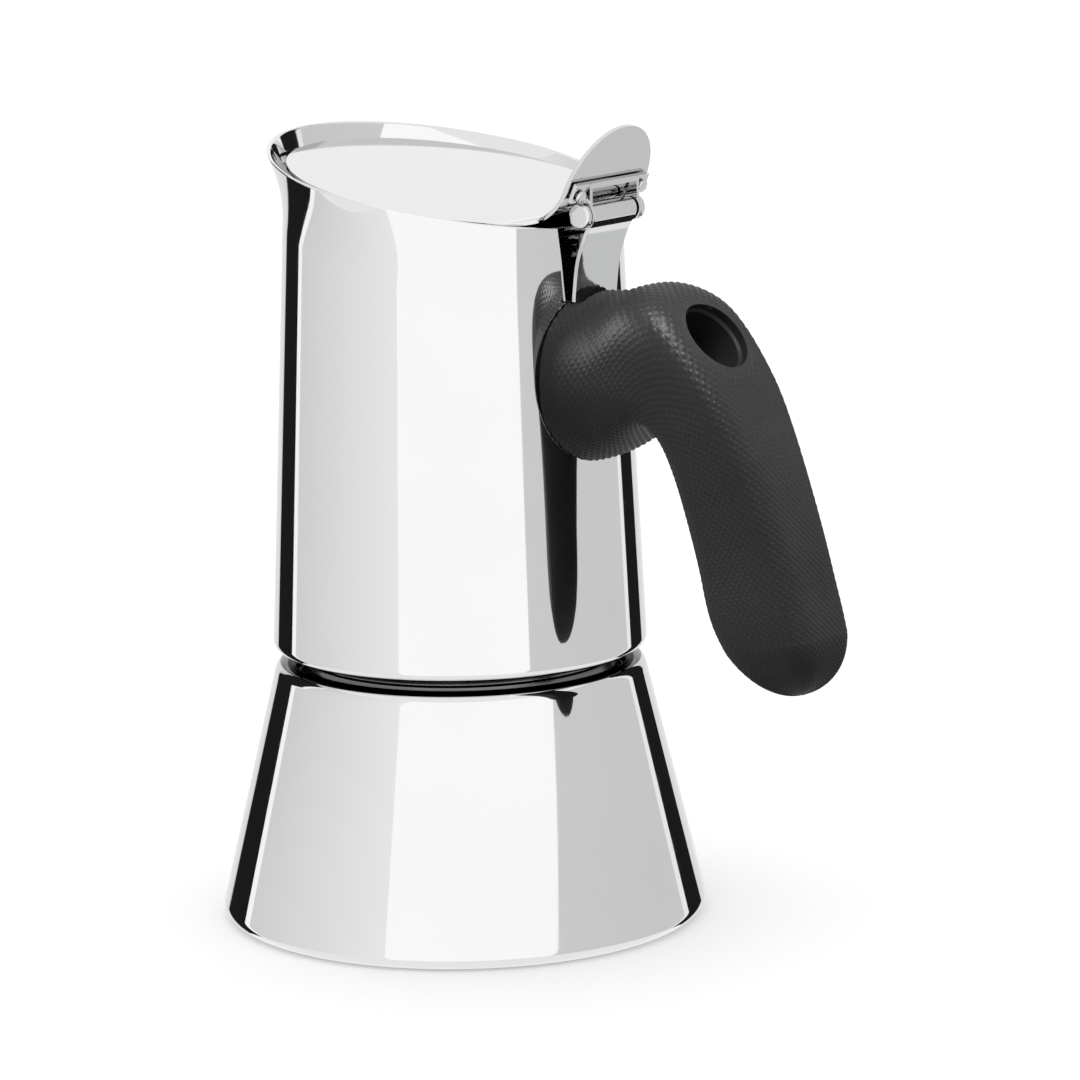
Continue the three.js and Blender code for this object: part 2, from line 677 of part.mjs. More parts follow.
function handleBracket() {
  const hole = alongScrew(rod(SCREW_RADIUS + GAP, -30, -8, SMALL));
  const inside = turned([
    [0, 80],
    [wallRadius(80) + GAP, 80],
    [wallRadius(120) + GAP, 120],
    [0, 120],
  ]);
  return cut(join(padBlock(0), cut(tongueBlock(0), inside)), hole);
}

function handle() {
  const pot = turned([
    [0, 40],
    [wallRadius(40) + GAP, 40],
    [wallRadius(130) + GAP, 130],
    [0, 130],
  ]);
  const pocket = alongScrew(turned([
    [0, -POCKET_DEPTH],
    [POCKET_RADIUS, -POCKET_DEPTH],
    [POCKET_RADIUS, -1.6],
    [POCKET_RADIUS + 0.5, -1.2],
    [POCKET_RADIUS + 0.5, 12],
    [0, 12],
  ], 28));
  const bore = alongScrew(rod(SCREW_RADIUS + GAP, -26, -POCKET_DEPTH + 1, SMALL));
  const strapSlot = slab([[29, 111.4], [32.2, 111.4], [34.6, 118], [29, 118]], STRAP_HALF_WIDTH + GAP);
  return cut(handleBlank(), pot, pocket, bore, strapSlot, tongueBlock(GAP), padBlock(GAP));
}

function handleScrew() {
  const seat = -POCKET_DEPTH + GAP;
  const screw = turned([
    [0, -24],
    [SCREW_RADIUS, -23],
    [SCREW_RADIUS, seat],
    [3.8, seat],
    [3.8, seat + 1.2],
    [2.9, seat + 2.2],
    [0, seat + 2.6],
  ], SMALL);
  const slots = [0, 1].map((turn) =>
    new THREE.BoxGeometry(4.6, 0.9, 2.4).rotateZ((turn * Math.PI) / 2).translate(0, 0, seat + 2.6));
  return alongScrew(cut(screw, ...slots));
}

// ---- assembly -----------------------------------------------------------------------------
const pot = new THREE.Group();

function add(parent, name, geometry, material) {
  const mesh = new THREE.Mesh(closed(geometry), material());
  mesh.name = name;
  parent.add(mesh);
}

add(pot, 'boiler_shell', boilerShell(), polished);
add(pot, 'base_disc', baseDisc(), satin);
add(pot, 'neck_ring', neckRing(), satin);

const valve = new THREE.Group();
valve.position.set(0, coneRadius(VALVE_Z), VALVE_Z);
valve.rotation.x = CONE_ANGLE - Math.PI / 2;
add(valve, 'valve_body', valveBody(), brass);
add(valve, 'valve_washer', valveWasher(), satin);
add(valve, 'valve_nut', valveNut(), brass);
add(valve, 'valve_plunger', valvePlunger(), brass);
add(valve, 'valve_spring', valveSpring(), satin);
add(valve, 'valve_retainer', valveRetainer(), brass);
pot.add(valve);

add(pot, 'funnel_basket', funnelBasket(), satin);
add(pot, 'funnel_stem', funnelStem(), satin);
add(pot, 'funnel_screen', funnelScreen(), satin);
add(pot, 'gasket', gasket(), rubber);
add(pot, 'filter_plate', filterPlate(), satin);

add(pot, 'collector_shell', collectorShell(), polished);
add(pot, 'thread_ring', threadRing(), satin);
add(pot, 'collector_floor', collectorFloor(), satin);
add(pot, 'coffee_column', coffeeColumn(), polished);
add(pot, 'column_cap', columnCap(), polished);
add(pot, 'hinge_strap', hingeStrap(), polished);
add(pot, 'hinge_pin', hingePin(), polished);
add(pot, 'handle_bracket', handleBracket(), satin);
add(pot, 'handle', handle(), nylon);
add(pot, 'handle_screw', handleScrew(), satin);

add(pot, 'lid', lid(), polished);
add(pot, 'lid_bracket', lidBracket(), polished);
[-1, 1].forEach((side) => {
  add(pot, side < 0 ? 'lid_rivet_front' : 'lid_rivet_back', lidRivet(side), polished);
});

export default pot;
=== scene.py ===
# %% [markdown]
# # A two-cup stove-top moka pot
# The pot is pressed and turned from stainless steel, and polished to a mirror. Its handle is
# black moulded nylon with a fine raised texture. Blender adds the looks to a frame that already
# fixes every size and every joint, so the pieces here are smooth, detailed versions of the
# plain solids in that frame, and each one rides on the body that carries it.

# %% Load the frame
import bmesh
import bpy
import math
import numpy as np
from contextlib import contextmanager
from mathutils import Matrix, Vector


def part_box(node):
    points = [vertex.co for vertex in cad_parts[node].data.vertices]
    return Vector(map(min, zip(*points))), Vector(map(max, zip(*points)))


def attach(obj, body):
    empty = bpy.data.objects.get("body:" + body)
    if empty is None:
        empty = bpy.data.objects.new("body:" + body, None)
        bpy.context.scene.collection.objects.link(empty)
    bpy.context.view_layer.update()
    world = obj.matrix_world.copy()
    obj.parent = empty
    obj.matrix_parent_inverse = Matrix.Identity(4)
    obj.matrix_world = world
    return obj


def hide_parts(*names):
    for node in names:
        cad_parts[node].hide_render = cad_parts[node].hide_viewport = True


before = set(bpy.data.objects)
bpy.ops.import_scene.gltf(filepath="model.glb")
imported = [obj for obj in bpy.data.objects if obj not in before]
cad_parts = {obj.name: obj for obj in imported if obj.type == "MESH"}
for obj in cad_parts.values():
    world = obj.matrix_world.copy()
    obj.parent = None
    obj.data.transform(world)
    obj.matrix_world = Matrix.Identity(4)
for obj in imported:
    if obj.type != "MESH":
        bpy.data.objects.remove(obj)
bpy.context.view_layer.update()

MM = 0.001

# %% [markdown]
# ## Camera
# A long lens, far from the pot, keeps its upright lines almost parallel, as a catalogue likes
# them. Three directions say how the camera is turned: to its right, up, and forward. They
# could come from a Track To constraint, but a matrix also holds the slight roll.

# %% Place the camera
CAMERA_PLACE = Vector((533.164, -661.994, 234.836)) * MM
CAMERA_RIGHT = Vector((0.791100, 0.611482, -0.015827))
CAMERA_UP = Vector((-0.106590, 0.163285, 0.980804))
CAMERA_FORWARD = Vector((-0.602328, 0.774227, -0.194352))
LENS = 163.966

camera = bpy.data.objects.new("camera", bpy.data.cameras.new("camera"))
camera.data.lens = LENS
camera.data.sensor_width = 36.0
camera.data.clip_start = 0.05
camera.data.clip_end = 20.0
turned_to = Matrix((CAMERA_RIGHT, CAMERA_UP, -CAMERA_FORWARD)).transposed().to_4x4()
camera.matrix_world = Matrix.Translation(CAMERA_PLACE) @ turned_to
bpy.context.scene.collection.objects.link(camera)
bpy.context.scene.camera = camera
print("camera:", round(CAMERA_PLACE.length, 3), "m from the origin")

# %% [markdown]
# ## Studio
# Polished steel shows nothing of its own, only what stands round it. A studio surrounds it with
# large white cards and puts narrow black ones before them, which draw dark lines along the
# edges. The cards here stand on a ring round the pot, and each one is seen by the metal but not
# by the camera. The floor is pale and plain.

# %% Helpers for nodes
def feed(node, inputs):
    """Fills a node's inputs: a socket is linked, and anything else is set as its value."""
    for key, value in inputs.items():
        for part in value if isinstance(value, list) else [value]:
            if isinstance(part, bpy.types.NodeSocket):
                node.id_data.links.new(part, node.inputs[key])
            else:
                node.inputs[key].default_value = part


def add_node(tree, kind, inputs=None, **settings):
    """Adds a node with its settings, and fills its inputs."""
    made = tree.nodes.new(kind)
    for key, value in settings.items():
        setattr(made, key, value)
    feed(made, inputs or {})
    return made


def new_material(name):
    made = bpy.data.materials.new(name)
    made.use_nodes = True
    return made, made.node_tree


# %% Floor, sky and view settings
SKY = 1.2
FLOOR_HALF = 6.0
FLOOR_WHITE = (0.95, 0.95, 0.95, 1.0)
scene = bpy.context.scene
scene.view_settings.view_transform = "Standard"
world = bpy.data.worlds.new("studio")
world.use_nodes = True
feed(world.node_tree.nodes["Background"], {"Color": (1.0, 1.0, 1.0, 1.0), "Strength": SKY})
scene.world = world


def stage_object(name, vertices, faces, material):
    mesh = bpy.data.meshes.new(name)
    mesh.from_pydata(vertices, [], faces)
    mesh.materials.append(material)
    made = bpy.data.objects.new(name, mesh)
    scene.collection.objects.link(made)
    return made


floor_paint, floor_tree = new_material("floor_paint")
feed(floor_tree.nodes["Principled BSDF"], {"Base Color": FLOOR_WHITE, "Roughness": 0.9})
corners = [(x * FLOOR_HALF, y * FLOOR_HALF, 0) for x, y in ((-1, -1), (1, -1), (1, 1), (-1, 1))]
floor = stage_object("floor", corners, [(0, 1, 2, 3)], floor_paint)
floor.visible_glossy = False

# %% [markdown]
# Each card is a strip of the ring, given as rows: a height, then the angle where the strip
# starts and ends there. The tapered wall reflects low parts of the ring and the cone reflects
# high parts, so the rows also say how the card's edges lean.

# %% Cards round the pot
CAMERA_AZIMUTH = math.degrees(math.atan2(CAMERA_PLACE.y, CAMERA_PLACE.x))
CARD_RING = 0.55
FLAG_RING = 0.53
FLAG_GLOW = 0.015
CARD_STEPS = 24


def card(name, rows, strength, ring=CARD_RING):
    """A curved card that glows. Two strengths run evenly from its start to its end."""
    vertices = []
    for height, start, end in rows:
        for i in range(CARD_STEPS + 1):
            angle = math.radians(CAMERA_AZIMUTH + start + (end - start) * i / CARD_STEPS)
            vertices.append((ring * math.cos(angle), ring * math.sin(angle), height))
    wide = CARD_STEPS + 1
    faces = []
    for row in range(len(rows) - 1):
        for i in range(CARD_STEPS):
            corner = row * wide + i
            faces.append((corner, corner + 1, corner + 1 + wide, corner + wide))
    paint, tree = new_material(name + "_paint")
    tree.nodes.clear()
    if isinstance(strength, tuple):
        uv = add_node(tree, "ShaderNodeUVMap", uv_map="across")
        split = add_node(tree, "ShaderNodeSeparateXYZ", {"Vector": uv.outputs["UV"]})
        ramp = add_node(tree, "ShaderNodeMapRange", {
            "Value": split.outputs["X"], "To Min": strength[0], "To Max": strength[1]})
        strength = ramp.outputs["Result"]
    glow = add_node(tree, "ShaderNodeEmission", {"Strength": strength})
    add_node(tree, "ShaderNodeOutputMaterial", {"Surface": glow.outputs["Emission"]})
    made = stage_object(name, vertices, faces, paint)
    uv_layer = made.data.uv_layers.new(name="across")
    for loop in made.data.loops:
        uv_layer.data[loop.index].uv = (loop.vertex_index % wide / CARD_STEPS, 0.0)
    made.visible_camera = made.visible_shadow = made.visible_diffuse = False


LOW, BEND, RISE, HIGH = -0.3, 0.08, 0.15, 0.6
LEFT_TOP, RIGHT_TOP = 0.45, 0.42
card("front_card", [(LOW, -37, 41), (BEND, -37, 41), (RISE, -37, 58), (HIGH, -37, 58)], 1.45)
card("left_card", [(LOW, -150, -37), (HIGH, -150, -37)], (0.8, 1.22))
card("right_card", [(LOW, 41, 146), (BEND, 41, 146), (RISE, 58, 146), (HIGH, 58, 146)],
     (0.9, 0.84))
card("back_card", [(LOW, 146, 210), (0.2, 146, 210)], 0.92)
card("left_flag", [(LOW, -148, -122), (BEND, -148, -124), (RISE, -143, -114),
                   (LEFT_TOP, -143, -114)], FLAG_GLOW, FLAG_RING)
card("left_glint", [(LOW, -122, -117), (BEND, -124, -119), (RISE, -114, -110),
                    (LEFT_TOP, -114, -110)], 1.35, FLAG_RING)
card("right_flag", [(LOW, 126, 146), (RIGHT_TOP, 126, 146)], FLAG_GLOW, FLAG_RING)
card("right_glint", [(LOW, 121, 126), (RIGHT_TOP, 121, 126)], 1.2, FLAG_RING)

# %% [markdown]
# The nylon is dull, so it needs light from lamps and not from cards. Three soft lamps are
# linked to the handle alone, and leave the steel to the cards.

# %% Soft lamps for the handle
LAMP_AIM = Vector((0.05, 0, 0.08))
handle_only = bpy.data.collections.new("lit_by_lamps")


def lamp(name, angle, distance, height, size, power):
    """A square lamp at an angle from the camera, aimed at the handle's side of the pot."""
    data = bpy.data.lights.new(name, "AREA")
    data.size = size
    data.energy = power
    made = bpy.data.objects.new(name, data)
    turn = math.radians(CAMERA_AZIMUTH + angle)
    made.location = (distance * math.cos(turn), distance * math.sin(turn), height)
    aim = LAMP_AIM - made.location
    made.rotation_euler = aim.to_track_quat("-Z", "Y").to_euler()
    scene.collection.objects.link(made)
    made.visible_camera = False
    made.light_linking.receiver_collection = handle_only


lamp("left_lamp", -95, 0.6, 0.35, 0.25, 13.0)
lamp("right_lamp", 105, 0.6, 0.45, 0.25, 4.0)
lamp("top_lamp", 20, 0.3, 0.75, 0.3, 19.0)
print("studio: 8 cards and 3 lamps")

# %% [markdown]
# ## Fine marks in the metal
# No polish is perfect. A wheel leaves hair-fine lines that follow the way it ran, and sheet
# steel keeps long, shallow waves from pressing. Both belong in one node group, so every metal
# here shares them at its own strength. The group puts out a roughness and a height, and the
# shader stays in each material.

# %% Node groups with named sockets
SOCKETS = {float: "NodeSocketFloat", tuple: "NodeSocketVector", type(None): "NodeSocketGeometry"}


def node_group(name, kind, inputs, outputs):
    """A group and its inputs. The value given for a socket also tells its type."""
    tree = bpy.data.node_groups.new(name, kind)
    for way, sockets in (("INPUT", inputs), ("OUTPUT", outputs)):
        for label, value in sockets.items():
            made = tree.interface.new_socket(
                name=label, in_out=way, socket_type=SOCKETS[type(value)])
            if value is not None:
                made.default_value = value
    return tree, tree.nodes.new("NodeGroupInput").outputs


def math_node(tree, operation, first, second):
    made = add_node(tree, "ShaderNodeMath", {0: first, 1: second}, operation=operation)
    return made.outputs["Value"]


def vector_node(tree, operation, inputs):
    return add_node(tree, "ShaderNodeVectorMath", inputs, operation=operation).outputs


def noise(tree, vector, scale, detail):
    made = add_node(tree, "ShaderNodeTexNoise", {
        "Vector": vector, "Scale": scale, "Detail": detail})
    return made.outputs["Fac"]


def object_place(tree):
    return add_node(tree, "ShaderNodeTexCoord").outputs["Object"]


# %% The shared node group for worked metal
WAVE_SCALE, SMUDGE_SCALE = 45.0, 90.0
SMUDGE_FULL = 0.35


def worked_metal_group():
    tree, inside = node_group("worked_metal", "ShaderNodeTree", {
        "Lines Along": (1.0, 1.0, 0.02),
        "Line Scale": 2500.0,
        "Line Depth": 0.2,
        "Wave Depth": 0.5,
        "Smoothest": 0.03,
        "Roughest": 0.1,
    }, {"Roughness": 0.0, "Height": 0.0})
    place = object_place(tree)
    stretch = vector_node(tree, "MULTIPLY", {0: place, 1: inside["Lines Along"]})
    lines = noise(tree, stretch["Vector"], inside["Line Scale"], 3.0)
    waves = noise(tree, place, WAVE_SCALE, 1.0)
    smudge = noise(tree, place, SMUDGE_SCALE, 5.0)
    patch = math_node(tree, "POWER", smudge, 2.0)
    spread = add_node(tree, "ShaderNodeMapRange", {
        "Value": math_node(tree, "MULTIPLY", patch, lines),
        "From Max": SMUDGE_FULL,
        "To Min": inside["Smoothest"],
        "To Max": inside["Roughest"]})
    fine = math_node(tree, "MULTIPLY", lines, inside["Line Depth"])
    broad = math_node(tree, "MULTIPLY", waves, inside["Wave Depth"])
    add_node(tree, "NodeGroupOutput", {
        "Roughness": spread.outputs["Result"],
        "Height": math_node(tree, "ADD", fine, broad)})
    return tree


# %% Painted shade in the groove between boiler and collector
GROOVE_EDGE = 4000.0


def groove_shade_group():
    """A mask for the painted shade in the closed groove between boiler and collector, from height
    and radius.
    """
    tree, inside = node_group("painted_groove_shade", "ShaderNodeTree", {
        "Height": 0.0473, "Half Height": 0.0016, "Radius": 0.0322}, {"Mask": 0.0})
    place = object_place(tree)
    split = add_node(tree, "ShaderNodeSeparateXYZ", {"Vector": place})
    flat = vector_node(tree, "MULTIPLY", {0: place, 1: (1.0, 1.0, 0.0)})
    radius = vector_node(tree, "LENGTH", {0: flat["Vector"]})["Value"]
    above = math_node(tree, "SUBTRACT", split.outputs["Z"], inside["Height"])
    away = math_node(tree, "ABSOLUTE", above, 0.0)
    near = math_node(tree, "LESS_THAN", away, inside["Half Height"])
    edge = math_node(tree, "SUBTRACT", inside["Radius"], radius)
    soft = math_node(tree, "MULTIPLY", edge, GROOVE_EDGE)
    soft.node.use_clamp = True
    add_node(tree, "NodeGroupOutput", {"Mask": math_node(tree, "MULTIPLY", near, soft)})
    return tree


worked_metal = worked_metal_group()
groove_shade_mask = groove_shade_group()
print("groups:", worked_metal.name, "and", groove_shade_mask.name)

# %% [markdown]
# ## Metals
# Each metal is the same Principled shader with its own colour, and its own values in the shared
# group: long lines down the polished wall, rings on the turned pieces, and a warmer colour for
# the brass. Lines that follow the lathe need no second group, because a pattern squeezed in
# height alone runs round the pot's axis. In the groove under the collector the steel's colour is
# painted dark as painted shade for the closed groove, and the second group marks that place.

# %% Make the metals
# The second value is the share of its colour that the steel keeps under the painted shade in the
# groove.
DULLER, GROOVE_SHADE_SHARE = 0.94, 0.05
MARK_DEPTH = 0.02 * MM


def shade(colour, share=1.0):
    return (*(share * part for part in colour), 1.0)


def mixed_colour(tree, factor, first, second):
    made = add_node(tree, "ShaderNodeMix", {"Factor": factor, "A": first, "B": second},
                    data_type="RGBA")
    return made.outputs["Result"]


def metal(name, colour, lines_along, line_scale, line_depth, wave_depth, roughness, groove_shade=False):
    """A metal with its marks. Roughness is a pair: the smoothest and the roughest place."""
    made, tree = new_material(name)
    marks = add_node(tree, "ShaderNodeGroup", {
        "Lines Along": lines_along,
        "Line Scale": line_scale,
        "Line Depth": line_depth,
        "Wave Depth": wave_depth,
        "Smoothest": roughness[0],
        "Roughest": roughness[1],
    }, node_tree=worked_metal).outputs
    colours = mixed_colour(tree, marks["Height"], shade(colour), shade(colour, DULLER))
    # Painted shade: in the groove between boiler and collector the colour is darkened almost to
    # black.
    if groove_shade:
        shade_mask = add_node(tree, "ShaderNodeGroup", node_tree=groove_shade_mask)
        colours = mixed_colour(tree, shade_mask.outputs["Mask"], colours, shade(colour, GROOVE_SHADE_SHARE))
    relief = add_node(tree, "ShaderNodeBump", {
        "Strength": 1.0, "Distance": MARK_DEPTH, "Height": marks["Height"]})
    feed(tree.nodes["Principled BSDF"], {
        "Metallic": 1.0,
        "Base Color": colours,
        "Roughness": marks["Roughness"],
        "Normal": relief.outputs["Normal"]})
    return made


# The mirror steel carries the painted shade in the groove.
mirror_steel = metal("mirror_steel", (0.655, 0.657, 0.662), (1.0, 1.0, 0.02), 900.0, 0.03, 0.6,
                     (0.015, 0.08), groove_shade=True)
lid_steel = metal("lid_steel", (0.6, 0.602, 0.606), (0.02, 1.0, 1.0), 1200.0, 0.03, 0.4,
                  (0.03, 0.12))
turned_steel = metal("turned_steel", (0.5, 0.505, 0.51), (0.02, 0.02, 1.0), 2600.0, 0.3, 0.3,
                     (0.16, 0.34))
stamped_steel = metal("stamped_steel", (0.6, 0.605, 0.61), (1.0, 0.05, 1.0), 1500.0, 0.06, 0.5,
                      (0.03, 0.1))
valve_brass = metal("valve_brass", (0.62, 0.43, 0.2), (1.0, 1.0, 1.0), 1800.0, 0.15, 0.3,
                    (0.12, 0.3))

# %% [markdown]
# ## Silicone and nylon
# The sealing ring is pale silicone with a soft bloom. The handle is nylon, which is never quite
# black: it has a fine grain, which also makes its roughness vary a little.

# %% Make the silicone and the nylon
CLOUD_SCALE = 60.0


def moulded(name, colour, lighter, grain_scale, grain_depth, roughness, sheen):
    """A moulded material, whose colour and roughness change with a fine grain."""
    made, tree = new_material(name)
    place = object_place(tree)
    grain = noise(tree, place, grain_scale, 4.0)
    cloud = noise(tree, place, CLOUD_SCALE, 3.0)
    cloudy_grain = math_node(tree, "MULTIPLY", grain, cloud)
    spread = add_node(tree, "ShaderNodeMapRange", {
        "Value": grain, "To Min": roughness[0], "To Max": roughness[1]})
    relief = add_node(tree, "ShaderNodeBump", {"Distance": grain_depth * MM, "Height": grain})
    feed(tree.nodes["Principled BSDF"], {
        "Specular IOR Level": sheen,
        "Base Color": mixed_colour(tree, cloudy_grain, shade(colour), shade(lighter)),
        "Roughness": spread.outputs["Result"],
        "Normal": relief.outputs["Normal"]})
    return made


handle_nylon = moulded("handle_nylon", (0.0045, 0.0045, 0.0047), (0.014, 0.014, 0.0145), 3200.0,
                       0.03, (0.3, 0.5), 0.09)
seal_silicone = moulded("seal_silicone", (0.66, 0.63, 0.56), (0.8, 0.78, 0.72), 1800.0, 0.02,
                        (0.5, 0.7), 0.4)
print("materials:", len(bpy.data.materials))

# %% [markdown]
# ## Turning smooth pieces
# Mirror steel shows every facet, so the turned pieces are not left to automatic smoothing. Each
# outline is a few corners with a rounding, and each point on it knows which way its surface
# faces. When that outline is spun round the axis, those directions become the mesh's custom
# normals, and a reflection runs across the joins without a kink.

# %% Outlines with rounded corners
LEAST_ROUNDING = 1e-3
LEAST_BEND = 1e-9
MOST_OF_A_SIDE = 0.49


def unit(way):
    return way / np.linalg.norm(way)


def rounded(corners, closed=True, steps=6):
    """Points of an outline and the way it faces there. A corner is x, y, its rounding and, if
    the line to the next corner needs them, its number of rows."""
    count = len(corners)
    runs = []
    for i, corner in enumerate(corners):
        here = np.array(corner[:2], float)
        last, following = np.array(corners[i - 1][:2]), np.array(corners[(i + 1) % count][:2])
        if not closed and i in (0, count - 1):
            way = unit(following - here) if i == 0 else unit(here - last)
            runs.append([(here, np.array([way[1], -way[0]]))])
            continue
        before, after = here - last, following - here
        a, b = unit(before), unit(after)
        turn = math.atan2(a[0] * b[1] - a[1] * b[0], a @ b)
        opening = math.tan(abs(turn) / 2)
        shorter = min(np.linalg.norm(before), np.linalg.norm(after))
        reach = min(max(corner[2], LEAST_ROUNDING) * opening, MOST_OF_A_SIDE * shorter)
        radius = reach / max(opening, LEAST_BEND)
        side = math.copysign(1.0, turn)
        facing = np.array([a[1], -a[0]])
        centre = here - a * reach - side * facing * radius
        run = []
        for k in range(steps + 1):
            angle = turn * k / steps
            cos, sin = math.cos(angle), math.sin(angle)
            out = np.array([cos * facing[0] - sin * facing[1], sin * facing[0] + cos * facing[1]])
            run.append((centre + side * out * radius, out))
        runs.append(run)
    points = []
    for i, run in enumerate(runs):
        points += run
        rows = corners[i][3] if len(corners[i]) > 3 else 1
        start, end = run[-1], runs[(i + 1) % count][0]
        for k in range(1, rows):
            points.append((start[0] + (end[0] - start[0]) * k / rows, start[1]))
    return np.array([p for p, _ in points]), np.array([n for _, n in points])


# %% Spinning an outline, and bending what was spun
SMALL_STEP = 1e-4
ON_THE_AXIS = 1e-6


def bent(points, normals, bend):
    """Moves points, and turns their normals by the same change of shape."""
    columns = []
    for axis in np.eye(3) * SMALL_STEP:
        columns.append((bend(points + axis) - bend(points - axis)) / (2 * SMALL_STEP))
    change = np.stack(columns, axis=2)
    turned_normals = np.einsum("nji,nj->ni", np.linalg.inv(change), normals)
    return bend(points), turned_normals / np.linalg.norm(turned_normals, axis=1, keepdims=True)


def mesh_object(name, points, faces, normals=None):
    mesh = bpy.data.meshes.new(name)
    mesh.from_pydata((np.asarray(points) * MM).tolist(), [], faces)
    mesh.shade_smooth()
    if normals is not None:
        mesh.normals_split_custom_set_from_vertices(np.asarray(normals).tolist())
    made = bpy.data.objects.new(name, mesh)
    scene.collection.objects.link(made)
    return made


def turned(name, corners, closed=True, sides=160, steps=6, bend=None, place=None):
    """Spins an outline of radius and height round the upright axis."""
    outline, facing = rounded(corners, closed, steps)
    angles = np.arange(sides) * 2 * math.pi / sides
    points, normals, rings = [], [], []
    for (radius, height), (out, up) in zip(outline, facing):
        if radius < ON_THE_AXIS:
            rings.append([len(points)])
            points.append((0.0, 0.0, height))
            normals.append((0.0, 0.0, math.copysign(1.0, up)))
            continue
        rings.append(list(range(len(points), len(points) + sides)))
        points += [(radius * math.cos(a), radius * math.sin(a), height) for a in angles]
        normals += [(out * math.cos(a), out * math.sin(a), up) for a in angles]
    faces = []
    pairs = list(zip(rings, rings[1:] + rings[:1])) if closed else list(zip(rings, rings[1:]))
    for low, high in pairs:
        for j in range(sides):
            k = (j + 1) % sides
            if len(low) == 1:
                faces.append((low[0], high[k], high[j]))
            elif len(high) == 1:
                faces.append((low[j], low[k], high[0]))
            else:
                faces.append((low[j], low[k], high[k], high[j]))
    points, normals = np.array(points), np.array(normals)
    if bend is not None:
        points, normals = bent(points, normals, bend)
    if place is not None:
        turn = np.array(place.to_3x3())
        points = points @ turn.T + np.array(place.translation)
        normals = normals @ turn.T
    return mesh_object(name, points, faces, normals)


# %% Working on a mesh, and finishing a piece
@contextmanager
def opened(piece):
    """Opens a piece's mesh for editing, and writes it back afterwards."""
    shell = bmesh.new()
    shell.from_mesh(piece.data)
    yield shell
    shell.to_mesh(piece.data)
    shell.free()


def face_outwards(piece):
    """Turns every face outwards, and counts the open edges, of which there should be none."""
    with opened(piece) as shell:
        bmesh.ops.recalc_face_normals(shell, faces=shell.faces)
        return sum(1 for edge in shell.edges if len(edge.link_faces) != 2)


def set_down(piece, place):
    """Moves a closed mesh to its place, right side out, and counts its open edges."""
    with opened(piece) as shell:
        bmesh.ops.transform(shell, matrix=place, verts=shell.verts)
        if shell.calc_volume(signed=True) < 0:
            bmesh.ops.reverse_faces(shell, faces=shell.faces)
        return sum(1 for edge in shell.edges if len(edge.link_faces) != 2)


def shade_by_angle(piece, sharpest):
    piece.data.shade_smooth()
    piece.data.set_sharp_from_angle(angle=math.radians(sharpest))


POLISHED, SATIN, BRASS = "polished_steel", "satin_steel", "valve_brass"


def finish_piece(piece, body, slot, material, *nodes):
    """Gives a piece its material and its body, and hides the frame nodes it stands for. The slot
    is not used.
    """
    piece.data.materials.clear()
    piece.data.materials.append(material)
    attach(piece, body)
    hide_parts(*nodes)
    print(f"{piece.name}: {len(piece.data.polygons)} faces on {body}")


def span(node):
    """A node's lowest and highest corner, in millimetres."""
    low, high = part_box(node)
    return np.array(low) / MM, np.array(high) / MM


# %% [markdown]
# ## The boiler
# The boiler is one deep-drawn cup, turned over at the shoulder. Its side leans in at a constant
# angle, so four corners and four roundings give the whole outside, and the inside follows
# a sheet's thickness within. A lathe outline is the honest way to make it.

# %% Boiler shell and base disc
CONE_LEAN = math.radians(13.46)
BOILER_WALL = 1.0
BASE_ROUNDING = 3.6
SHOULDER_ROUNDING = 3.0
MOUTH_RADIUS = 25.9

boiler_low, boiler_high = span("boiler_shell")
disc_low, disc_high = span("base_disc")
neck_low, neck_high = span("neck_ring")
base_radius = boiler_high[0]
foot_z, shoulder_z = boiler_low[2], boiler_high[2]
cone_start_z = foot_z + BASE_ROUNDING * (1 + math.sin(CONE_LEAN))
cone_start_radius = base_radius - BASE_ROUNDING * (1 - math.cos(CONE_LEAN))


def cone_radius(z):
    return cone_start_radius - (z - cone_start_z) * math.tan(CONE_LEAN)


recess_z = disc_high[2] + 0.15
recess_radius = disc_high[0] + 0.2
floor_z = recess_z + BOILER_WALL
inset = BOILER_WALL / math.cos(CONE_LEAN)
inner_top_radius = cone_radius(shoulder_z) - inset
boiler = turned("boiler_pressing", [
    (0, recess_z, 0),
    (recess_radius, recess_z, 0.1),
    (recess_radius, foot_z, 0.25),
    (cone_radius(foot_z), foot_z, BASE_ROUNDING, 12),
    (cone_radius(shoulder_z), shoulder_z, SHOULDER_ROUNDING),
    (MOUTH_RADIUS, shoulder_z, 0.3),
    (MOUTH_RADIUS, shoulder_z - BOILER_WALL, 0.3),
    (inner_top_radius, shoulder_z - BOILER_WALL, SHOULDER_ROUNDING - BOILER_WALL, 6),
    (cone_radius(floor_z) - inset, floor_z, 2.4),
    (0, floor_z, 0),
], closed=False, sides=224, steps=12)
finish_piece(boiler, "boiler", POLISHED, mirror_steel, "boiler_shell")

GROOVE_DEPTH = 0.25
disc = turned("heat_spreader", [
    (0, disc_low[2], 0),
    (13.0, disc_low[2], 0.1),
    (13.3, GROOVE_DEPTH, 0.1),
    (14.3, GROOVE_DEPTH, 0.1),
    (14.6, disc_low[2], 0.1),
    (disc_high[0], disc_low[2], 0.6),
    (disc_high[0], disc_high[2], 0.2),
    (0, disc_high[2], 0),
], closed=False, sides=160, steps=4)
finish_piece(disc, "boiler", SATIN, turned_steel, "base_disc")

# %% [markdown]
# ## The screw threads
# A thread is a ridge that climbs one pitch in each turn. Instead of sweeping a section along
# a helix, which leaves ends to close, the ring is spun plain and its face is then pushed in and
# out by a wave that shifts with the angle. The wave fades at both ends, as a cut thread does.

# %% Neck ring and thread ring
PITCH = 3.0
THREAD_DEPTH = 0.6
THREAD_REACH = 0.3
THREAD_PLAY = 0.4


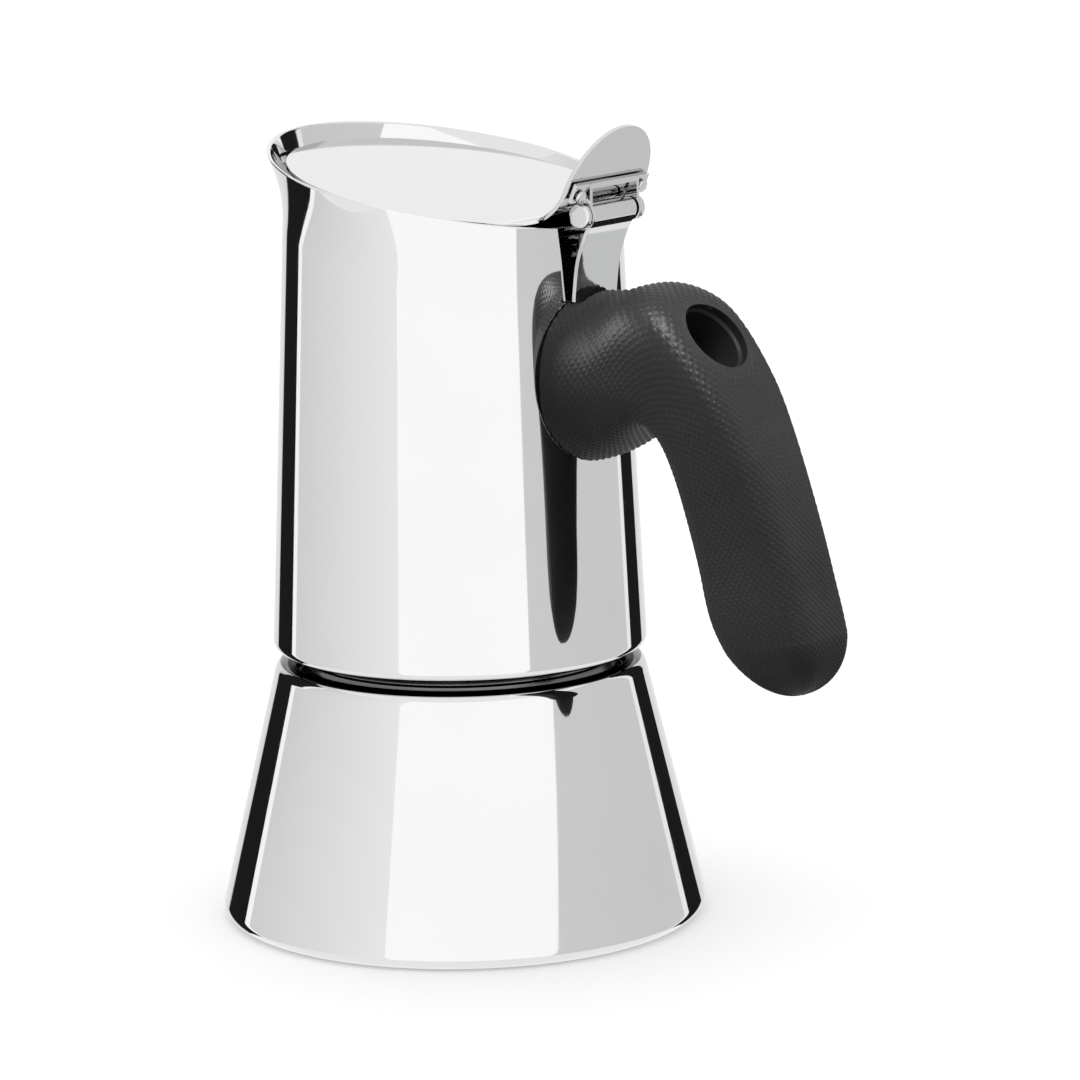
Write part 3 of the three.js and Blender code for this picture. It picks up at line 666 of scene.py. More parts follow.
def threaded(face_radius, low, high, outwards):
    """A bend that raises a thread on the face at one radius, between two heights."""
    def bend(points):
        radius = np.hypot(points[:, 0], points[:, 1])
        turn = np.arctan2(points[:, 1], points[:, 0]) / (2 * math.pi) - points[:, 2] / PITCH
        from_end = np.minimum(points[:, 2] - low, high - points[:, 2])
        fade = np.clip(from_end / PITCH, 0, 1)
        near = np.clip(1 - np.abs(radius - face_radius) / THREAD_REACH, 0, 1)
        height = THREAD_DEPTH * (0.5 + 0.5 * np.cos(2 * math.pi * turn)) * fade * near
        grown = (radius + (height if outwards else -height)) / radius
        return np.column_stack([points[:, 0] * grown, points[:, 1] * grown, points[:, 2]])
    return bend


NECK_RADIUS = 27.3
neck = turned("neck_thread", [
    (MOUTH_RADIUS, neck_low[2] - 0.15, 0.1),
    (NECK_RADIUS, neck_low[2] - 0.15, 0.1, 48),
    (NECK_RADIUS, neck_high[2], 0.35),
    (MOUTH_RADIUS, neck_high[2], 0.35),
], sides=160, steps=3, bend=threaded(NECK_RADIUS, neck_low[2], neck_high[2], True))
finish_piece(neck, "boiler", SATIN, turned_steel, "neck_ring")

ring_low, ring_high = span("thread_ring")
gasket_low, gasket_high = span("gasket")
RING_INNER = NECK_RADIUS + 2 * THREAD_DEPTH + THREAD_PLAY
thread_top = neck_high[2] + 0.7
seat_radius = gasket_high[0] + 0.3
ring = turned("collector_thread", [
    (ring_high[0], ring_low[2], 0.2),
    (ring_high[0], ring_high[2], 0.1),
    (seat_radius, ring_high[2], 0.1),
    (seat_radius, thread_top, 0.1),
    (RING_INNER, thread_top, 0.1, 48),
    (RING_INNER, ring_low[2], 0.2),
], sides=160, steps=3, bend=threaded(RING_INNER, ring_low[2], thread_top, False))
finish_piece(ring, "collector", SATIN, turned_steel, "thread_ring")

# %% [markdown]
# ## The collector
# The collector is a drawn tube with a hemmed foot. Its rim is cut on a slant, high on the
# pouring side, and flared so that it pours without a spout. It is spun as a plain tapered tube,
# and then one function draws its upper part to the slant and opens it out, which keeps the
# walls and their normals smooth.

# %% Collector shell
WALL_TAPER = 0.0466
SKIRT_RADIUS = 33.06
SHEET = 0.7
RIM_MIDDLE = 131.6
RIM_RISE = 6.85
FLARE_DEPTH = 13.0
PLAIN_TOP = 100.0
HEM_RADIUS = 29.3
skirt_z = span("collector_shell")[0][2]


def wall_radius(z):
    return SKIRT_RADIUS - WALL_TAPER * (z - skirt_z)


def smoothstep(value, low, high):
    share = np.clip((value - low) / (high - low), 0, 1)
    return share * share * (3 - 2 * share)


def draw_rim(points):
    """Takes the level rim to its slant, and opens out its last few millimetres."""
    radius = np.maximum(np.hypot(points[:, 0], points[:, 1]), 1e-6)
    pour = -points[:, 0] / radius
    rim = RIM_MIDDLE + RIM_RISE * pour
    z = points[:, 2]
    share = np.clip((z - PLAIN_TOP) / (RIM_MIDDLE - PLAIN_TOP), 0, None)
    drawn = np.where(z > PLAIN_TOP, PLAIN_TOP + share * (rim - PLAIN_TOP), z)
    side = (pour + 1) / 2
    widest = 0.4 + 3.6 * smoothstep(side, 0.08, 0.6) - 1.1 * smoothstep(side, 0.6, 1)
    climb = np.clip(1 - (rim - drawn) / FLARE_DEPTH, 0, None)
    out = radius - WALL_TAPER * (drawn - z) + widest * climb ** 2
    return np.column_stack([points[:, 0] * out / radius, points[:, 1] * out / radius, drawn])


collector = turned("collector_tube", [
    (HEM_RADIUS, skirt_z + SHEET, 0.3),
    (HEM_RADIUS, skirt_z, 0.3),
    (SKIRT_RADIUS, skirt_z, 2.4, 4),
    (wall_radius(PLAIN_TOP), PLAIN_TOP, 0.01, 40),
    (wall_radius(RIM_MIDDLE), RIM_MIDDLE, 0.3),
    (wall_radius(RIM_MIDDLE) - SHEET, RIM_MIDDLE, 0.3, 40),
    (wall_radius(PLAIN_TOP) - SHEET, PLAIN_TOP, 0.01, 4),
    (SKIRT_RADIUS - SHEET, skirt_z + SHEET, 1.7),
], sides=288, steps=8, bend=draw_rim)
finish_piece(collector, "collector", POLISHED, mirror_steel, "collector_shell")

# %% [markdown]
# ## The lid
# The lid and its thumb tab are one piece of sheet: a disc with a tongue, whose tongue is curled
# up. So it is drawn flat first, as one outline, cut across where it will bend, and then rolled
# up by a function of the distance along it. Solidify gives it the sheet's thickness, and a
# small Bevel breaks the edge so that it catches a line of light.

# %% Sheet work helpers
def applied(piece):
    """Makes a piece's modifiers part of its mesh."""
    depsgraph = bpy.context.evaluated_depsgraph_get()
    mesh = bpy.data.meshes.new_from_object(
        piece.evaluated_get(depsgraph), preserve_all_data_layers=True, depsgraph=depsgraph)
    piece.modifiers.clear()
    piece.data = mesh
    return piece


def eased(piece, width, segments=3, angle=30.0):
    """Rounds the edges of a piece, and lets its large faces rule the shading."""
    bevel = piece.modifiers.new("edges", "BEVEL")
    bevel.width = width * MM
    bevel.segments = segments
    bevel.limit_method = "ANGLE"
    bevel.angle_limit = math.radians(angle)
    bevel.use_clamp_overlap = True
    weighted = piece.modifiers.new("shading", "WEIGHTED_NORMAL")
    weighted.weight = 100
    return applied(piece)


# %% Lid with its thumb tab
LID_RADIUS = 28.6
LID_HEIGHT = 130.4
LID_FALL = math.atan(0.18)
TAB_HALF_WIDTH = 11.1
TAB_BEND = 9.6
TAB_LEAN = math.radians(65.6)
TAB_LENGTH = 11.4
CURL_X = 22.5
CURL_STEP, NECK_STEP = 0.4, 0.35
NECK_FROM, NECK_TO = 24.0, 29.0
PLATE_REACH = LID_RADIUS / math.cos(LID_FALL)
CURL_START = CURL_X / math.cos(LID_FALL)
CURL_END = CURL_START + TAB_BEND * (TAB_LEAN + LID_FALL)


def lid_half_width(along):
    plate = LID_RADIUS * math.sqrt(max(0.0, 1 - (along / PLATE_REACH) ** 2))
    past = min(max((along - CURL_END) / TAB_LENGTH, 0.0), 1.0)
    tab = TAB_HALF_WIDTH * math.sqrt(1 - past ** 2)
    share = float(smoothstep(along, NECK_FROM, NECK_TO))
    return plate * (1 - share) + tab * share


def roll_lid(along, y):
    """From the flat sheet to the lid's upper face."""
    centre_x = CURL_X + TAB_BEND * math.sin(LID_FALL)
    centre_z = LID_HEIGHT - CURL_X * math.tan(LID_FALL) + TAB_BEND * math.cos(LID_FALL)
    if along <= CURL_START:
        return (along * math.cos(LID_FALL), y, LID_HEIGHT - along * math.sin(LID_FALL))
    turn = min(along - CURL_START, CURL_END - CURL_START) / TAB_BEND - LID_FALL
    past = max(along - CURL_END, 0.0)
    x = centre_x + TAB_BEND * math.sin(turn) + past * math.cos(turn)
    z = centre_z - TAB_BEND * math.cos(turn) + past * math.sin(turn)
    return (x, y, z)


round_part = [-PLATE_REACH * math.cos(t) for t in np.linspace(0, 2.5, 90)]
round_part = [s for s in round_part if s < NECK_FROM]
neck_part = list(np.arange(NECK_FROM, CURL_END, NECK_STEP))
tip_part = [CURL_END + TAB_LENGTH * math.sin(t) for t in np.linspace(0, math.pi / 2, 28)]
stations = round_part + neck_part + tip_part
near_edge = [(s, -lid_half_width(s)) for s in stations]
far_edge = [(s, lid_half_width(s)) for s in reversed(stations[1:-1])]
sheet = bmesh.new()
sheet.faces.new([sheet.verts.new((s, y, 0)) for s, y in near_edge + far_edge])
for cut in np.arange(CURL_START, CURL_END + CURL_STEP, CURL_STEP):
    everything = sheet.verts[:] + sheet.edges[:] + sheet.faces[:]
    bmesh.ops.bisect_plane(sheet, geom=everything, plane_co=(cut, 0, 0), plane_no=(1, 0, 0))
for vertex in sheet.verts:
    vertex.co = Vector(roll_lid(vertex.co.x, vertex.co.y)) * MM
lid_mesh = bpy.data.meshes.new("lid_sheet")
sheet.to_mesh(lid_mesh)
sheet.free()
lid_mesh.shade_smooth()
lid = bpy.data.objects.new("lid_sheet", lid_mesh)
scene.collection.objects.link(lid)
thick = lid.modifiers.new("thickness", "SOLIDIFY")
thick.thickness = SHEET * MM
thick.offset = -1.0
eased(lid, 0.16)
finish_piece(lid, "lid", POLISHED, lid_steel, "lid")

# %% [markdown]
# ## Hinge strap and pin
# The strap is a plain band, spot-welded to the wall at its foot. It leaves the wall in a long
# sweep, and its upper end is rolled over into the barrel that the pin runs through. Its side
# view says everything, so one outline is drawn from a smooth line and extruded across.

# %% Smooth lines and extruded outlines
def through(points, steps):
    """A smooth line through points, as many steps long as asked."""
    points = np.asarray(points, float)
    last = len(points) - 1
    line = []
    for t in np.linspace(0, last, steps + 1):
        i = min(int(t), last - 1)
        w = t - i
        p0, p1, p2, p3 = points[max(i - 1, 0)], points[i], points[i + 1], points[min(i + 2, last)]
        v0, v1 = (p2 - p0) / 2, (p3 - p1) / 2
        cubic = (2 * p1 - 2 * p2 + v0 + v1) * w ** 3
        line.append(cubic + (3 * (p2 - p1) - 2 * v0 - v1) * w ** 2 + v0 * w + p1)
    return np.array(line)


def across(name, outline, half_width):
    """Extrudes an outline of x and z to both sides of the pot's middle."""
    count = len(outline)
    points = [(x, -half_width, z) for x, z in outline] + [(x, half_width, z) for x, z in outline]
    faces = [tuple(range(count)), tuple(range(2 * count - 1, count - 1, -1))]
    faces += [(i, i + count, (i + 1) % count + count, (i + 1) % count) for i in range(count)]
    made = mesh_object(name, points, faces)
    face_outwards(made)
    made.data.shade_smooth()
    return made


# %% Hinge strap
HINGE_X, HINGE_Z = 33.7, 127.2
STRAP_SHEET = 0.72
BARREL_RADIUS = 1.95
BARREL_START, BARREL_END = -32, 236
strap_low, strap_high = span("hinge_strap")
angles = np.radians(np.linspace(BARREL_START, BARREL_END, 49))
barrel_arc = np.column_stack([
    HINGE_X + BARREL_RADIUS * np.cos(angles), HINGE_Z + BARREL_RADIUS * np.sin(angles)])
sweep = through([
    (31.15, strap_low[2] + 0.1),
    (31.27, 113.8),
    (31.95, 118.6),
    (33.2, 122.3),
    (34.4, 124.75),
    tuple(barrel_arc[0]),
], 60)
outer_line = np.vstack([sweep, barrel_arc[1:]])
ahead = np.gradient(outer_line, axis=0)
ahead /= np.linalg.norm(ahead, axis=1, keepdims=True)
inner_line = outer_line + STRAP_SHEET * np.column_stack([-ahead[:, 1], ahead[:, 0]])
strap = across("hinge_band", np.vstack([outer_line, inner_line[::-1]]), strap_high[1])
eased(strap, 0.14)
finish_piece(strap, "collector", POLISHED, stamped_steel, "hinge_strap")

# %% Hinge pin with its two domed heads
PIN_RADIUS = 1.2
HEAD_SEAT = 7.05
pin_low, pin_high = span("hinge_pin")
pin_head = (pin_high[2] - pin_low[2]) / 2
pin_place = Matrix.Translation((HINGE_X, 0, HINGE_Z)) @ Matrix.Rotation(math.pi / 2, 4, "X")
pin = turned("hinge_rivet", [
    (0, -pin_high[1], 0),
    (pin_head, -pin_high[1] + 0.1, 0.95),
    (pin_head, -HEAD_SEAT, 0.12),
    (PIN_RADIUS, -HEAD_SEAT, 0.05),
    (PIN_RADIUS, HEAD_SEAT, 0.05),
    (pin_head, HEAD_SEAT, 0.12),
    (pin_head, pin_high[1] - 0.1, 0.95),
    (0, pin_high[1], 0),
], closed=False, sides=48, steps=8, place=pin_place)
finish_piece(pin, "collector", POLISHED, stamped_steel, "hinge_pin")

# %% [markdown]
# ## Small stampings and machined parts
# The lid bracket, the handle's bracket and screw, the valve's body and its nut already have
# their true shape in the frame. Each one is copied, its loose triangles are merged back into
# whole faces, and a bevel rounds every edge by a tenth or two of a millimetre.

# %% Copies with eased edges
SAME_POINT = 0.004 * MM
SAME_PLANE = math.radians(0.6)
SOFT_ANGLE = 24.0


def softened(name, node, width):
    """A copy of a frame node, merged into whole faces, with its edges rounded."""
    shell = bmesh.new()
    shell.from_mesh(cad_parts[node].data)
    bmesh.ops.remove_doubles(shell, verts=shell.verts, dist=SAME_POINT)
    bmesh.ops.dissolve_limit(
        shell, angle_limit=SAME_PLANE, verts=shell.verts, edges=shell.edges)
    mesh = bpy.data.meshes.new(name)
    shell.to_mesh(mesh)
    shell.free()
    mesh.shade_smooth()
    made = bpy.data.objects.new(name, mesh)
    scene.collection.objects.link(made)
    return eased(made, width, 2, SOFT_ANGLE)


for name, node, width, body, slot, material in (
        ("lid_saddle", "lid_bracket", 0.12, "lid", POLISHED, stamped_steel),
        ("handle_stub", "handle_bracket", 0.15, "collector", SATIN, turned_steel),
        ("handle_bolt", "handle_screw", 0.1, "collector", SATIN, turned_steel),
        ("valve_case", "valve_body", 0.12, "boiler", BRASS, valve_brass),
        ("valve_hexagon", "valve_nut", 0.2, "boiler", BRASS, valve_brass)):
    finish_piece(softened(name, node, width), body, slot, material, node)

# %% Lid rivets
TAB_OUT = Vector((math.sin(TAB_LEAN), 0, -math.cos(TAB_LEAN)))
HALF_RIVET = 0.78
for name, node in (("lid_stud_near", "lid_rivet_front"), ("lid_stud_far", "lid_rivet_back")):
    rivet_low, rivet_high = span(node)
    base = Vector((rivet_low + rivet_high) / 2) - TAB_OUT * HALF_RIVET
    place = Matrix.Translation(base) @ TAB_OUT.to_track_quat("Z", "Y").to_matrix().to_4x4()
    rivet = turned(name, [
        (0, 0, 0),
        (0.6, 0, 0.05),
        (0.6, 0.88, 0.03),
        (1.15, 0.88, 0.1),
        (1.15, 1.4, 0.45),
        (0, 1.5, 0),
    ], closed=False, sides=32, steps=5, place=place)
    finish_piece(rivet, "lid", POLISHED, stamped_steel, node)

# %% [markdown]
# ## The handle
# The handle is one moulding: round where it meets the pot, square in the grip, and swept over
# in an arch. Its shape is a row of sections along a smooth line. Its skin carries thousands of
# tiny raised diamonds, so the skin is laid out as a net of diamonds from the start, and
# Geometry Nodes then raises each one. That keeps the pattern on the surface with no image.

# %% Sections of the handle
HANDLE_SECTIONS = np.array([
    (24.0, 84.0, 24.0, 113.3, 13.0),
    (31.0, 84.2, 31.0, 113.4, 13.0),
    (37.5, 86.3, 37.7, 113.9, 12.9),
    (42.3, 89.7, 44.5, 115.5, 12.9),
    (45.8, 92.0, 51.2, 113.2, 12.6),
    (48.6, 92.1, 56.6, 107.8, 12.0),
    (51.0, 89.3, 62.6, 99.8, 11.2),
    (52.9, 84.2, 66.9, 91.9, 10.3),
    (54.7, 77.5, 71.1, 82.1, 9.5),
    (57.0, 68.6, 74.5, 72.8, 9.0),
    (58.7, 60.0, 77.2, 63.9, 8.8),
])
HANDLE_TIP = 14.5
TIP_SKEW = 0.26
TIP_CLOSING = 2.06
ROUND_SIDE, SQUARE_SIDE = 2.1, 4.4
WIDEST = (0.5, 0.415)
LAST = len(HANDLE_SECTIONS) - 1
FINE = 2000
section_line = through(HANDLE_SECTIONS, FINE)


def handle_ring(along, ahead, angles):
    """Points round the handle: along is 0 to 1 up to the last section, ahead 0 to 1 past it."""
    row = section_line[int(round(along * FINE))]
    start, end, half_width = row[0:2], row[2:4], row[4]
    depth = np.linalg.norm(end - start)
    over = (end - start) / depth
    middle = (WIDEST[0] + (WIDEST[1] - WIDEST[0]) * along) * depth
    closing = math.sqrt(max(0.0, 1 - ahead ** TIP_CLOSING))
    squareness = min(max((along * LAST - 2) / 3, 0.0), 1.0)
    power = 2 / (ROUND_SIDE + (SQUARE_SIDE - ROUND_SIDE) * squareness)
    cos, sin = np.cos(angles), np.sin(angles)
    reach = np.where(cos < 0, middle, depth - middle)
    past = HANDLE_TIP * ahead
    out = middle + closing * reach * np.sign(cos) * np.abs(cos) ** power + TIP_SKEW * past
    side = closing * half_width * np.sign(sin) * np.abs(sin) ** power
    x = start[0] + out * over[0] + past * over[1]
    z = start[1] + out * over[1] - past * over[0]
    return np.column_stack([x, side, z])


# %% A net of diamonds over the handle
DIAMOND = 1.5
COLUMNS = 50
SKIN_START = 0.07
SKIN_END = 0.97
EXTRA_ROWS = 14
BLEND_ROWS, BLEND_PASSES = 7, 12
OUTER_ANGLE, INNER_ANGLE = 0.9, 2.6
OUTER_WEIGHT, INNER_WEIGHT = 0.6, 0.4
dense_angles = np.linspace(0, 2 * math.pi, 721)
spine = [(a, 0.0) for a in np.linspace(SKIN_START, 1, 300)]
spine += [(1.0, math.sin(t)) for t in np.linspace(0, SKIN_END * math.pi / 2, 120)[1:]]


def lengths(*lines):
    """How far each point lies along a line, or along several lines together."""
    steps = sum(np.linalg.norm(np.diff(line, axis=0), axis=1) for line in lines)
    return np.concatenate([[0], np.cumsum(steps)])


outer_side = np.array([handle_ring(a, t, np.array([OUTER_ANGLE]))[0] for a, t in spine])
inner_side = np.array([handle_ring(a, t, np.array([INNER_ANGLE]))[0] for a, t in spine])
middle_line = outer_side * OUTER_WEIGHT + inner_side * INNER_WEIGHT
row_count = int(lengths(middle_line)[-1] / (DIAMOND / 2)) + EXTRA_ROWS
share = lengths(outer_side, inner_side)
rows, tip_row = [], row_count
for k in range(row_count):
    at = np.interp(share[-1] * k / (row_count - 1), share, np.arange(len(spine)))
    low, weight = int(at), at - int(at)
    high = min(low + 1, len(spine) - 1)
    along, ahead = np.array(spine[low]) * (1 - weight) + np.array(spine[high]) * weight
    if ahead > 0:
        tip_row = min(tip_row, k)
    ring_points = handle_ring(along, ahead, dense_angles)
    travelled = lengths(ring_points)
    wanted = travelled[-1] * (np.arange(COLUMNS) + 0.5 * (k % 2)) / COLUMNS
    rows.append(np.column_stack([
        np.interp(wanted, travelled, ring_points[:, axis]) for axis in range(3)]))
for _ in range(BLEND_PASSES):
    fair = [row.copy() for row in rows]
    for k in range(tip_row - BLEND_ROWS, tip_row + BLEND_ROWS + 1):
        fair[k] = (rows[k - 2] + 2 * rows[k] + rows[k + 2]) / 4
    rows = fair
net_points = np.vstack(rows + [handle_ring(1.0, 1.0, np.array([0.0]))])


def net(k, j):
    return k * COLUMNS + j % COLUMNS


net_faces = []
for k in range(row_count - 2):
    for j in range(COLUMNS):
        right = j + k % 2
        net_faces.append((net(k, j), net(k + 1, right), net(k + 2, j), net(k + 1, right - 1)))
top = row_count - 1
for j in range(COLUMNS):
    net_faces.append((net(0, j), net(0, j + 1), net(1, j)))
    net_faces.append((net(top - 1, j), net(top, j + (top - 1) % 2), net(top - 1, j + 1)))
    net_faces.append((net(top, j), len(net_points) - 1, net(top, j + 1)))
net_faces.append(tuple(net(0, j) for j in reversed(range(COLUMNS))))
skin = mesh_object("handle_moulding", net_points, net_faces)
print("handle net:", len(net_faces), "faces,", face_outwards(skin), "open edges")

# %% [markdown]
# The relief is full on the grip, low on its flat sides, and fades to nothing at the rim of the
# screw's pocket. It is stored on the net's faces as an attribute, which the node tree reads.

# %% How high each diamond stands
GRIP_HOLE = Vector((56.2, 0.0, 107.7))
HOLE_LEAN = math.radians(40)
POCKET_RADIUS = 6.1
POCKET_REACH = -14
BARE_RIM, FULL_RELIEF = 1.0, 2.4
FLAT_SIDE, SIDE_SHARE = 0.85, 0.6
screw_way = Vector((math.cos(HOLE_LEAN), 0, math.sin(HOLE_LEAN)))
relief = skin.data.attributes.new("relief", "FLOAT", "FACE")
for face in skin.data.polygons:
    offset = face.center / MM - GRIP_HOLE
    outwards = offset.dot(screw_way)
    aside = (offset - screw_way * outwards).length - POCKET_RADIUS
    value = 1.0
    if outwards > POCKET_REACH:
        value = float(smoothstep(aside, BARE_RIM, FULL_RELIEF))
    if len(face.vertices) != 4:
        value = 0.0
    if abs(face.normal.y) > FLAT_SIDE:
        value *= SIDE_SHARE
    relief.data[face.index].value = value


# %% Helpers for node trees on pieces
def end_tree(tree, geometry, material):
    """The end that every tree here shares: real geometry, with its material."""
    real = add_node(tree, "GeometryNodeRealizeInstances", {"Geometry": geometry})
    paint = add_node(tree, "GeometryNodeSetMaterial", {
        "Geometry": real.outputs["Geometry"], "Material": material})
    add_node(tree, "NodeGroupOutput", {"Geometry": paint.outputs["Geometry"]})
    return tree


def run_tree(piece, tree, values):
    """Puts a tree on a piece, sets its inputs by identifier, and keeps the plain mesh."""
    modifier = piece.modifiers.new(tree.name, "NODES")
    modifier.node_group = tree
    for item in tree.interface.items_tree:
        if item.item_type == "SOCKET" and item.in_out == "INPUT" and item.name in values:
            modifier[item.identifier] = values[item.name]
    applied(piece)


# %% Geometry Nodes: raise the diamonds
LEAST_RELIEF = 0.02


def raise_diamonds(material):
    tree, inside = node_group("raise_diamonds", "GeometryNodeTree", {
        "Geometry": None, "Height": 0.0002, "Top Share": 0.5}, {"Geometry": None})
    stored = add_node(tree, "GeometryNodeInputNamedAttribute", {"Name": "relief"},
                      data_type="FLOAT").outputs["Attribute"]
    stands = add_node(tree, "FunctionNodeCompare", {"A": stored, "B": LEAST_RELIEF},
                      operation="GREATER_THAN")
    push = add_node(tree, "GeometryNodeExtrudeMesh", {
        "Mesh": inside["Geometry"],
        "Selection": stands.outputs["Result"],
        "Offset Scale": math_node(tree, "MULTIPLY", stored, inside["Height"]),
        "Individual": True}, mode="FACES")
    shrink = add_node(tree, "GeometryNodeScaleElements", {
        "Geometry": push.outputs["Mesh"],
        "Selection": push.outputs["Top"],
        "Scale": inside["Top Share"]}, domain="FACE")
    return end_tree(tree, shrink.outputs["Geometry"], material)


run_tree(skin, raise_diamonds(handle_nylon), {"Height": 0.19 * MM, "Top Share": 0.38})
print("raised skin:", len(skin.data.polygons), "faces")

# %% [markdown]
# The moulding is then cut: back to the curve of the pot's wall, for the strap's foot, for the
# bracket inside it, and for the screw with its deep pocket. The cutting shapes are plain turned
# and extruded solids, and the exact Boolean solver handles the fine skin.

# %% Cut the handle to fit
def keep_largest(piece):
    """Drops the loose slivers that a cut can leave."""
    with opened(piece) as shell:
        waiting, parts = set(shell.verts), []
        while waiting:
            part, border = set(), [waiting.pop()]
            while border:
                vertex = border.pop()
                part.add(vertex)
                for edge in vertex.link_edges:
                    other = edge.other_vert(vertex)
                    if other in waiting:
                        waiting.remove(other)
                        border.append(other)
            parts.append(part)
        parts.sort(key=len)
        for part in parts[:-1]:
            bmesh.ops.delete(shell, geom=list(part), context="VERTS")
    print(piece.name, "had", len(parts), "parts")


def carve(piece, cutters):
    for cutter in cutters:
        bite = piece.modifiers.new(cutter.name, "BOOLEAN")
        bite.operation = "DIFFERENCE"
        bite.solver = "EXACT"
        bite.object = cutter
    applied(piece)
    for cutter in cutters:
        bpy.data.objects.remove(cutter)
    keep_largest(piece)


WALL_GAP = 0.3
POCKET_DEPTH = 11.0
CUT_LOW, CUT_HIGH = 40, 130
SLOT_START = 28
PAD_LOW, PAD_HIGH = 87.2, 110.5
along_screw = Matrix.Translation(GRIP_HOLE) @ Matrix.Rotation(math.pi / 2 - HOLE_LEAN, 4, "Y")
pot_wall = turned("cut_wall", [
    (0, CUT_LOW, 0),
    (wall_radius(CUT_LOW) + WALL_GAP, CUT_LOW, 0.1),
    (wall_radius(CUT_HIGH) + WALL_GAP, CUT_HIGH, 0.1),
    (0, CUT_HIGH, 0),
], closed=False, sides=160, steps=1)
pocket = turned("cut_pocket", [
    (0, -POCKET_DEPTH, 0),
    (POCKET_RADIUS, -POCKET_DEPTH, 0.6),
    (POCKET_RADIUS, -1.7, 0.25),
    (POCKET_RADIUS + 0.45, -1.2, 0.25),
    (POCKET_RADIUS + 0.45, 12, 0.1),
    (0, 12, 0),
], closed=False, sides=64, steps=3, place=along_screw)
screw_bore = turned("cut_bore", [
    (0, -26, 0),
    (2.3, -26, 0.1),
    (2.3, 1 - POCKET_DEPTH, 0.1),
    (0, 1 - POCKET_DEPTH, 0),
], closed=False, sides=32, steps=1, place=along_screw)
strap_slot = across("cut_slot", [(29, 111.4), (32.2, 111.4), (34.6, 118), (29, 118)],
                    strap_high[1] + WALL_GAP)
tongue_slot = across("cut_tongue", [
    (SLOT_START, 92.6), (44.3, 92.6), (44.3, 101.7), (SLOT_START, 101.7)], 4.8)
pad_slot = across("cut_pad", [
    (SLOT_START, PAD_LOW),
    (wall_radius(PAD_LOW) + 1.8, PAD_LOW),
    (wall_radius(PAD_HIGH) + 1.8, PAD_HIGH),
    (SLOT_START, PAD_HIGH),
], 6.3)
carve(skin, [tongue_slot, pad_slot, strap_slot, pocket, screw_bore, pot_wall])
shade_by_angle(skin, 20)
finish_piece(skin, "collector", "handle_nylon", handle_nylon, "handle")
handle_only.objects.link(skin)

# %% [markdown]
# ## Inside the collector
# The coffee rises through a tube that stands on the floor plate, and leaves it under a domed
# cap. The cap is spun first, and its two windows are then cut with one block. The floor
# plate carries a rolled bead, which real plates have to keep them stiff.

# %% Coffee column, its cap and the floor plate
COLUMN_BORE = 3.2
COLUMN_RADIUS = 4.3
floor_low, floor_high = span("collector_floor")
column_low, column_high = span("coffee_column")
foot_low = floor_high[2] + 0.3
column = turned("rising_tube", [
    (COLUMN_BORE, column_low[2], 0.15),
    (COLUMN_RADIUS, column_low[2], 0.2),
    (COLUMN_RADIUS, foot_low, 0.1),
    (column_high[0], foot_low, 0.2),
    (column_high[0], foot_low + 0.7, 0.3),
    (5.6, foot_low + 1.2, 2.5),
    (COLUMN_RADIUS, foot_low + 12, 20.0),
    (COLUMN_RADIUS, column_high[2], 0.3),
    (COLUMN_BORE, column_high[2], 0.3),
], sides=96, steps=6)
finish_piece(column, "collector", SATIN, turned_steel, "coffee_column")

cap_low, cap_high = span("column_cap")
sleeve = COLUMN_RADIUS + 0.3
cap = turned("spout_cap", [
    (0, cap_high[2], 0),
    (3.0, cap_high[2] - 0.35, 7.0),
    (cap_high[0], cap_high[2] - 2.8, 3.2),
    (cap_high[0], cap_low[2], 0.3),
    (sleeve, cap_low[2], 0.2),
    (sleeve, cap_high[2] - 3.0, 1.0),
    (2.4, cap_high[2] - 1.4, 1.0),
    (0, cap_high[2] - 1.2, 0),
], closed=False, sides=96, steps=8)
face_outwards(cap)
WINDOW_LOW, WINDOW_HIGH, WINDOW_SIDE = 109.1, 111.5, 2.2
window = across("cut_windows", [
    (-7, WINDOW_LOW), (7, WINDOW_LOW), (7, WINDOW_HIGH), (-7, WINDOW_HIGH)], WINDOW_SIDE)
carve(cap, [window])
shade_by_angle(cap, 32)
finish_piece(cap, "collector", SATIN, turned_steel, "column_cap")

BEAD_HEIGHT = 0.5
floor_plate = turned("floor_plate", [
    (sleeve, floor_low[2], 0.1),
    (floor_high[0], floor_low[2], 0.2),
    (floor_high[0], floor_high[2], 0.2),
    (21.5, floor_high[2], 1.2),
    (20.2, floor_high[2] + BEAD_HEIGHT, 0.9),
    (18.9, floor_high[2] + BEAD_HEIGHT, 0.9),
    (17.6, floor_high[2], 1.2),
    (sleeve, floor_high[2], 0.15),
], sides=192, steps=5)
finish_piece(floor_plate, "collector", SATIN, turned_steel, "collector_floor")

# %% [markdown]
# ## Funnel and sealing ring
# The funnel is spun from thin sheet: a flange that hangs on the boiler's neck, a cup, a sloping
# bottom and a socket for its stem. The stem is a plain tube with a softened mouth.

